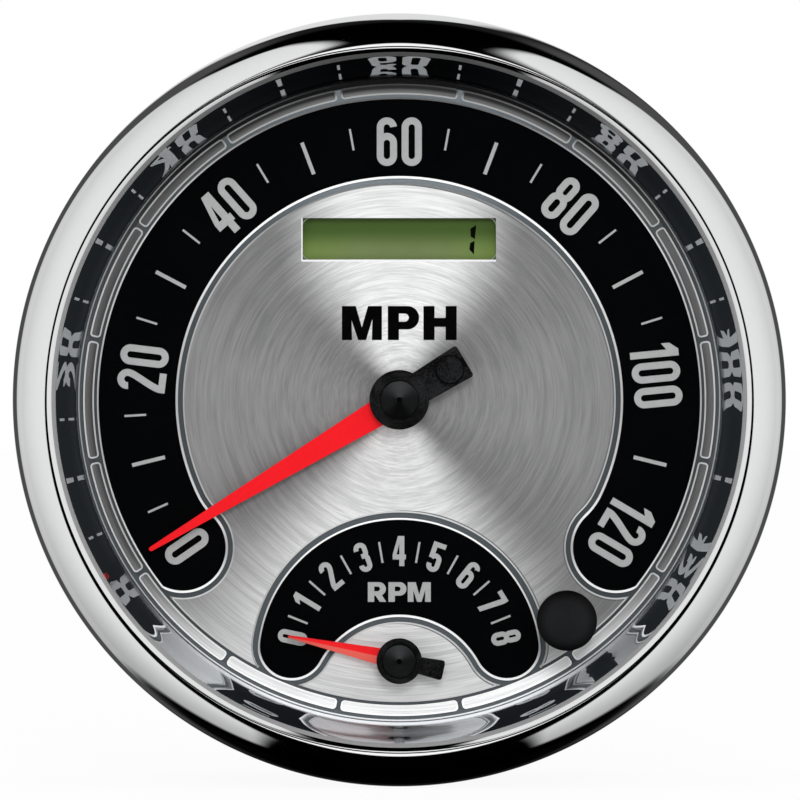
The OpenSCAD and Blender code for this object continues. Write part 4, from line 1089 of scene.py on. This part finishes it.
def letter_shells(letter, h):
    """One capital, M, P, H or R, of height h with its left edge on x = 0, and how wide it is; it is drawn
    on a grid with 430 steps to its height."""
    low, high = INK_Z
    k = h / 430
    flat = lambda points: ink(np.asarray(points, float) * k)
    bar = lambda *edges: flat(corners(*edges))
    stem = bar(0, 0, 140, 430)
    bowl = carried(
        joined([(138, 430)], pen_arc(248, 282.5, 147.5, 90, -90), [(138, 135)]) * k,
        joined([(138, 335)], pen_arc(214, 284, 51, 90, -90), [(138, 233)]) * k,
        [(0, low), (0, high), (1, high), (1, low)], False)
    if letter == "M":
        return [flat([(0, 0), (0, 430), (175, 430), (252, 160), (330, 430), (505, 430), (505, 0), (378, 0),
                      (385, 265), (305, 0), (205, 0), (122, 250), (128, 0)][::-1])], 505 * k
    if letter == "P":
        return [stem, bowl], 395 * k
    if letter == "H":
        return [stem, bar(280, 0, 420, 430), bar(138, 167, 282, 280)], 420 * k
    return [stem, bowl, flat([(150, 160), (262, 0), (402, 0), (300, 160)])], 402 * k


def word_shells(letters, gaps, h, at):
    """A unit's letters set in a row and centred at a place."""
    made = [letter_shells(letter, h) for letter in letters]
    widths = np.array([m[1] for m in made])
    lefts = np.concatenate([[0], np.cumsum(widths[:-1] + np.array(gaps) * h)])
    corner = np.asarray(at) - ((widths.sum() + sum(gaps) * h) / 2, h / 2)
    return [moved(lifted(one, k), corner + (x, 0)) for m, x in zip(made, lefts) for k, one in enumerate(m[0])]


def dial_marks():
    """Light grey figures and ticks of both scales, and the rev unit, printed on the black fields."""
    speed_at = lambda mph: (mph - 60) * 2.075
    rev_at = lambda n: -78 + 19.5 * n
    shells = []
    for text, d in (("0", -124.6), ("20", -83.0), ("40", -41.6), ("60", 0.0), ("80", 41.4), ("100", 84.6),
                    ("120", 120.6)):
        shells += number_label(text, 8.42, 3.5, 1.2, 0.8, cw(44.73, d), d)
    shells += tick_shells(speed_at(np.arange(10, 120, 20)), 41.8, 47.65, 0.65, (0, 0))
    shells += tick_shells(speed_at(np.arange(5, 100, 10)), 43.95, 47.7, 0.37, (0, 0))
    for n in range(9):
        d = rev_at(n)
        shells += number_label(str(n), 5.2, 2.3, 0.86, 0.5, REV_AXIS + cw(18.9, d), d)
    shells += tick_shells(rev_at(np.arange(0.5, 8)), 17.1, 20.75, 0.36, REV_AXIS)
    shells += word_shells("RPM", (0.115, 0.064), 3.4, REV_AXIS + (0, 11.8))
    piece("scale_marks", shells, "mark_grey")


def speed_unit():
    """Black unit letters printed on the brushed field."""
    piece("speed_unit", word_shells("MPH", (0.174, 0.128), 5.9, (0, 13.3)), "mark_black")


def odometer_figure():
    """The odometer's one shown figure: two slanting bars on the liquid crystal glass."""
    bars = ([(13.36, 30.36), (12.34, 29.70), (12.39, 28.37), (13.13, 27.90)],
            [(13.08, 27.63), (12.28, 27.20), (12.16, 26.12), (12.96, 25.21)])
    shells = [plate(np.array(bar), GLASS_Z - 0.01, GLASS_Z + 0.02) for bar in bars]
    piece("odometer_figure", shells, "crystal_ink")


# Pointers

def long_bar(half, y, section, at, d):
    """A bar along y with a half width at each place: a section carried from side to side, turned to
    heading d."""
    side = np.stack([half, y], -1)
    return moved(carried(side * (-1, 1), side, section, False), at, d)


def blade(at, d, length, root, tip, low, high, ridge, bore):
    """A tapered blade: across it, from edge to edge, its height falls by the ridge and its corners are
    eased; along it, its half width runs straight from root to tip and closes in a round end."""
    straight, rounded, ease = 40, 8, 0.12
    end = length - tip / 2
    turn = np.linspace(0.15, np.pi / 2 - 0.02, rounded)
    y = np.concatenate([np.linspace(bore, end, straight), end + tip / 2 * np.sin(turn)])
    half = (root + (tip - root) * np.clip(y / end, 0, 1)) / 2
    half[straight:] *= np.cos(turn)
    edge_z, inner_z = high - ridge - ease, high - ridge * 0.94 - ease * 0.2
    section = [(0, edge_z), (0.03, inner_z), (0.5, high), (0.97, inner_z), (1, edge_z), (1, low), (0, low)]
    return long_bar(half, y, section, at, d)


def hub_profile(r, cone_r, low, high, top):
    """Half of a hub's section: a bore for the spindle below, a ring with eased corners, and a floor for
    the cone."""
    ease, bore_r, floor_z, bore_z = 0.35, 0.77, high - 0.4, top - 1.4
    return np.concatenate([
        [(0.0, bore_z), (bore_r, bore_z), (bore_r, low), (r, low)],
        oval(r - ease, high - ease, ease, ease, np.linspace(0, np.pi / 2, 7)),
        [(cone_r + 0.26, high), (cone_r + 0.22, floor_z), (0.0, floor_z)]])


def cone_profile(cone_r, high, top):
    """Half of a hub cone's section: a short wall, a low slope and a small blind hole in its middle."""
    return [(0.0, high - 0.4), (cone_r, high - 0.4), (cone_r, high - 0.06), (cone_r - 0.06, high),
            (0.62, top - 0.02), (0.54, top), (0.47, top - 0.06), (0.45, top - 0.7), (0.0, top - 0.7)]


def tail(at, d, start, length, near_w, far_w, low, high):
    """A flared tail behind a hub: a flat bar whose half width grows along it, with eased upper corners;
    a quarter circle rounds each corner of its end."""
    corner_r, steps = 0.5, 12
    end = length - corner_r
    flare = np.column_stack([np.linspace(near_w, far_w, steps) / 2, np.linspace(start, end, steps)])
    corner = oval(far_w / 2 - corner_r, end, corner_r, corner_r, np.linspace(0, np.pi / 2, 7)[1:])
    half, y = np.concatenate([flare, corner]).T
    section = mirrored([(0, low), (0, high - 0.3), (0.02, high - 0.12), (0.06, high)])
    return long_bar(half, -y, section, at, d)


def pointers():
    """Both pointers: red blades, black hubs with their tails, and each hub's cone with a black plug of
    painted shade in its hole."""
    low, high = back("speed_pointer_blade"), front("speed_pointer_blade")
    hub_low, top = back("speed_pointer_hub"), front("speed_pointer_hub")
    ring, tail_z, bore, steps = top - 0.4, hub_low + 1.5, 0.9, 128
    speed_d, rev_d = -121.0, -77.7
    rev_red(rev_d)
    piece("speed_blade", [blade((0, 0), speed_d, 50.4, 5.0, 0.8, low, high, 0.0, bore)], "pointer_red",
          "speed_pointer", ["speed_pointer_blade"])
    piece("rev_blade", [blade(REV_AXIS, rev_d, 19.7, 3.4, 0.5, low, high, 0.35, bore)], "rev_red",
          "rev_pointer", ["rev_pointer_blade"], sharp=10)
    # A black plug in each cone's hole: painted shade where the hole is dark
    pit = [(0.0, top - 0.6), (0.46, top - 0.6), (0.46, top - 0.2), (0.0, top - 0.3)]
    hubs = (("speed", (0, 0), speed_d, 5.15, 3.2, (3.6, 13.2, 5.5, 6.1), -0.65),
            ("rev", REV_AXIS, rev_d, 3.92, 2.8, (2.9, 7.8, 2.8, 3.4), 0.4))
    for name, at, _, _, cone_r, _, foot in hubs:
        body, satin = name + "_pointer", name + "_cone_satin"
        cone_satin(satin, at, foot)
        cone = turned(cone_profile(cone_r, ring, top), steps, at, False)
        piece(name + "_cone", [cone], satin, body, weld=True)
        piece(name + "_cone_pit", [turned(pit, 48, at, False)], "mark_black", body, weld=True)
    for name, at, d, hub_r, cone_r, flare, _ in hubs:
        hub = turned(hub_profile(hub_r, cone_r, hub_low, ring, top), steps, at, False)
        piece(name + "_hub", [hub, tail(at, d, *flare, hub_low, tail_z)], "hub_black",
              name + "_pointer", [name + "_pointer_hub"], weld=True)


# Fasteners behind

def threaded_studs():
    """Two studs: round a shank the radius falls and rises with the thread, by the share of a
    turn of (length over pitch less angle over a full turn); a shoulder and a head above."""
    r, depth, pitch, apart = 2.4, 0.38, 0.8, 76.2
    tip_z, head_z, shoulder_z = back("mounting_studs"), front("mounting_studs"), CASE_BACK_Z + 0.9
    length = CASE_BACK_Z - tip_z
    steps, rows = 64, 301
    a = full_turn(steps)[None, :]
    s = np.linspace(0, length, rows)[:, None]
    wave = 2 * np.abs((s / pitch - a / (2 * np.pi)) % 1.0 - 0.5)
    fade = np.clip(s / 0.9, 0, 1) * np.clip((length - s) / 0.6, 0, 1)
    radius = r - depth * (1 - fade) * 0.8 - depth * wave * fade
    z = np.broadcast_to(tip_z + s, radius.shape)
    points = np.stack([radius * np.sin(a), radius * np.cos(a), z], -1)
    ends = [np.arange(steps)[::-1], np.arange(steps) + (rows - 1) * steps]
    shank = shell(points, grid_quads(rows, steps, False, True), ends)
    collar = turned([(0.0, CASE_BACK_Z), (2.9, CASE_BACK_Z), (2.9, shoulder_z), (4.5, shoulder_z),
                     (4.5, head_z - 0.2), (4.3, head_z), (0.0, head_z)], 64, closed=False)
    shells = [moved(one, (x, 0)) for one in (shank, collar) for x in (-apart / 2, apart / 2)]
    piece("threaded_studs", shells, "stud_brass", stands_for=["mounting_studs"], sharp=60,
          weld=True)


def cross_screws():
    """Three round-headed screws: a dome over a grid of radius and angle, sunk where the place lies in a
    cross."""
    head_r, head_h, shank_r, circle_r, tip_z = 2.8, 1.8, 1.5, 52.0, front("case_screws")
    rows, steps = 24, 96
    share = np.linspace(0, 1, rows)[:, None]
    a = full_turn(steps)[None, :]
    x, y = head_r * share * np.sin(a), head_r * share * np.cos(a)
    dome = head_h * np.sqrt(1 - (0.86 * share) ** 2) - 0.05
    fading = lambda v, edge, ease: np.clip((edge - np.abs(v)) / ease, 0, 1)
    arm = lambda p, q: fading(p, 0.42, 0.12) * fading(q, 1.75, 0.3)
    sunk = 0.95 * np.maximum(arm(x, y), arm(y, x))
    top = np.stack([x, y, CASE_BACK_Z - (dome - sunk)], -1)
    skirt = np.stack([x[-1], y[-1], np.full(steps, CASE_BACK_Z)], -1)[None]
    lid = np.arange(steps) + rows * steps
    head = shell(np.concatenate([top, skirt]), grid_quads(rows + 1, steps, False, True), (lid,))
    shank = turned([(0.0, CASE_BACK_Z), (shank_r, CASE_BACK_Z), (shank_r, tip_z - 0.4),
                    (shank_r - 0.4, tip_z), (0.0, tip_z)], 48, closed=False)
    shells = [moved(one, cw(circle_r, d)) for d in (0, 120, 240) for one in (head, shank)]
    piece("cross_screws", shells, "screw_steel", stands_for=["case_screws"], sharp=50,
          weld=True)


for make in (bezel_ring, lip_edge, reflector_wall, border_beads, field_edge_beads, rim_line, window_frame,
             holder_edge, dial_marks, speed_unit, odometer_figure, pointers, threaded_studs, cross_screws):
    make()

# The clear lens is seen through, and lets the studio's light straight in to the dial
lens = NODES["lens"]
lens.visible_diffuse = lens.visible_glossy = lens.visible_shadow = False


# Studio

def camera_rays(rays):
    """Which rays the camera sends out, straight or through glass."""
    return maths("MAXIMUM", Value(rays["Is Camera Ray"]), Value(rays["Is Transmission Ray"]))


def studio_world():
    """White to the camera and through glass. Metal sees a white panel on each side, dark above and below,
    a white patch round the camera, a pale sheet above and behind, and a pale wall at the back. Matt
    surfaces get plain soft light."""
    world = bpy.data.worlds.new("studio")
    bpy.context.scene.world = world
    world.use_nodes = True
    world.cycles.sampling_method = "NONE"
    tree = world.node_tree
    across, away, up = parts(place_in(tree, "Generated"))
    towards, aside = away * -1.0, abs(across)
    start = towards.step(0.47, 0.20, 0.504, 0.60) + across.step(-0.15, 0.15, -0.03, 0.03)
    side = between(up.step(-0.10, 0.10), aside + 0.40 * up, aside + 0.45 * towards - start)
    near = aside - up.step(-0.06, 0.07, 0.16, 0.06)
    panel = (side.step(-0.025, 0.03) * near.step(-0.015, 0.02) * towards.step(-0.50, -0.40)
             * (up + 0.25 * towards).step(-0.80, -0.70))
    shine = towards.step(-0.9, 1.3, 0.50, 0.84) * up.step(-0.9, 0.0, 0.62, 1.0)
    patch = (20.7 * (up * up) + 400.0 * (across * across)).step(1.2, 0.85) * towards.step(0.90, 0.95)
    clear = towards.step(0.9976, 0.9962)
    behind = (towards.step(0.12, -0.15, 0.001, 0.07) * aside.step(0.25, 0.45, 0.15, 1.0)
              * up.step(-0.82, -0.58, 0.02, 1.0))
    over = ((towards + 0.9 * aside).step(-0.18, -0.27) * across.step(0.26, 0.14) * across.step(-0.40, -0.28)
            * up.step(0.2, 0.4))
    metal = (panel * shine + patch) * clear + behind + 0.76 * over + 0.80 * towards.step(-0.90, -0.97)
    soft = up.step(-1.0, 1.0, 0.67, 0.90)
    rays = tree.nodes.new("ShaderNodeLightPath").outputs
    lit = blended(Value(rays["Is Glossy Ray"]), soft, metal)
    fill(tree.nodes["Background"], blended(camera_rays(rays), lit, WHITE), 1.0)


def pale_floor():
    """A wide pale floor under the bezel's lowest edge, white to the camera but for the shadow on it."""
    reach, z = 6, cad_box[0][2] - 0.0002
    mesh = bpy.data.meshes.new("floor")
    mesh.from_pydata([(x, y, z) for x, y in corners(-reach, -reach, reach, reach)], [], [(0, 1, 2, 3)])
    floor = linked("floor", mesh)
    mat = bpy.data.materials.new("floor_pale")
    mat.use_nodes = True
    tree = mat.node_tree
    grain = noise(place_in(tree), 40.0)
    set_shader(mat, {"Base Color": blended(grain, (0.90, 0.90, 0.90), (0.94, 0.94, 0.94)), "Roughness": 0.9,
                     "Specular IOR Level": 0.0})
    glow = new_node(tree, "ShaderNodeEmission", Color=WHITE, Strength=1.0)
    seen = camera_rays(tree.nodes.new("ShaderNodeLightPath").outputs)
    mix = fill(tree.nodes.new("ShaderNodeMixShader"), seen * 0.93, Value(shader_of(mat).outputs[0]),
               Value(glow.outputs[0]))
    put(tree.nodes["Material Output"].inputs["Surface"], Value(mix.outputs[0]))
    mesh.materials.append(mat)
    floor.visible_glossy = False


def key_lamp():
    """A broad soft lamp above and in front, for the pointers' shadows."""
    light = bpy.data.lights.new("key_lamp", "AREA")
    light.shape = "DISK"
    light.size = 0.22
    light.energy = 2.8
    lamp = linked("key_lamp", light)
    lamp.location = (0.05, -0.80, 0.27)
    lamp.rotation_euler = (-lamp.location).to_track_quat("-Z", "Y").to_euler()
    lamp.visible_glossy = False


def straight_camera():
    """The camera stands straight in front of the dial, and a width on the bezel's slope fills its view."""
    distance, view_w, sensor_w = 0.9, 0.13788, 36.0
    camera = bpy.data.cameras.new("camera")
    camera.sensor_width = sensor_w
    camera.lens = sensor_w * (distance - CREST_Z * MM * 0.4) / view_w
    obj = linked("camera", camera)
    obj.location = (0.00012, -distance, -0.00003)
    obj.rotation_euler = (np.pi / 2, 0, 0)
    bpy.context.scene.camera = obj


studio_world()
pale_floor()
key_lamp()
straight_camera()
bpy.context.scene.view_settings.view_transform = "Standard"
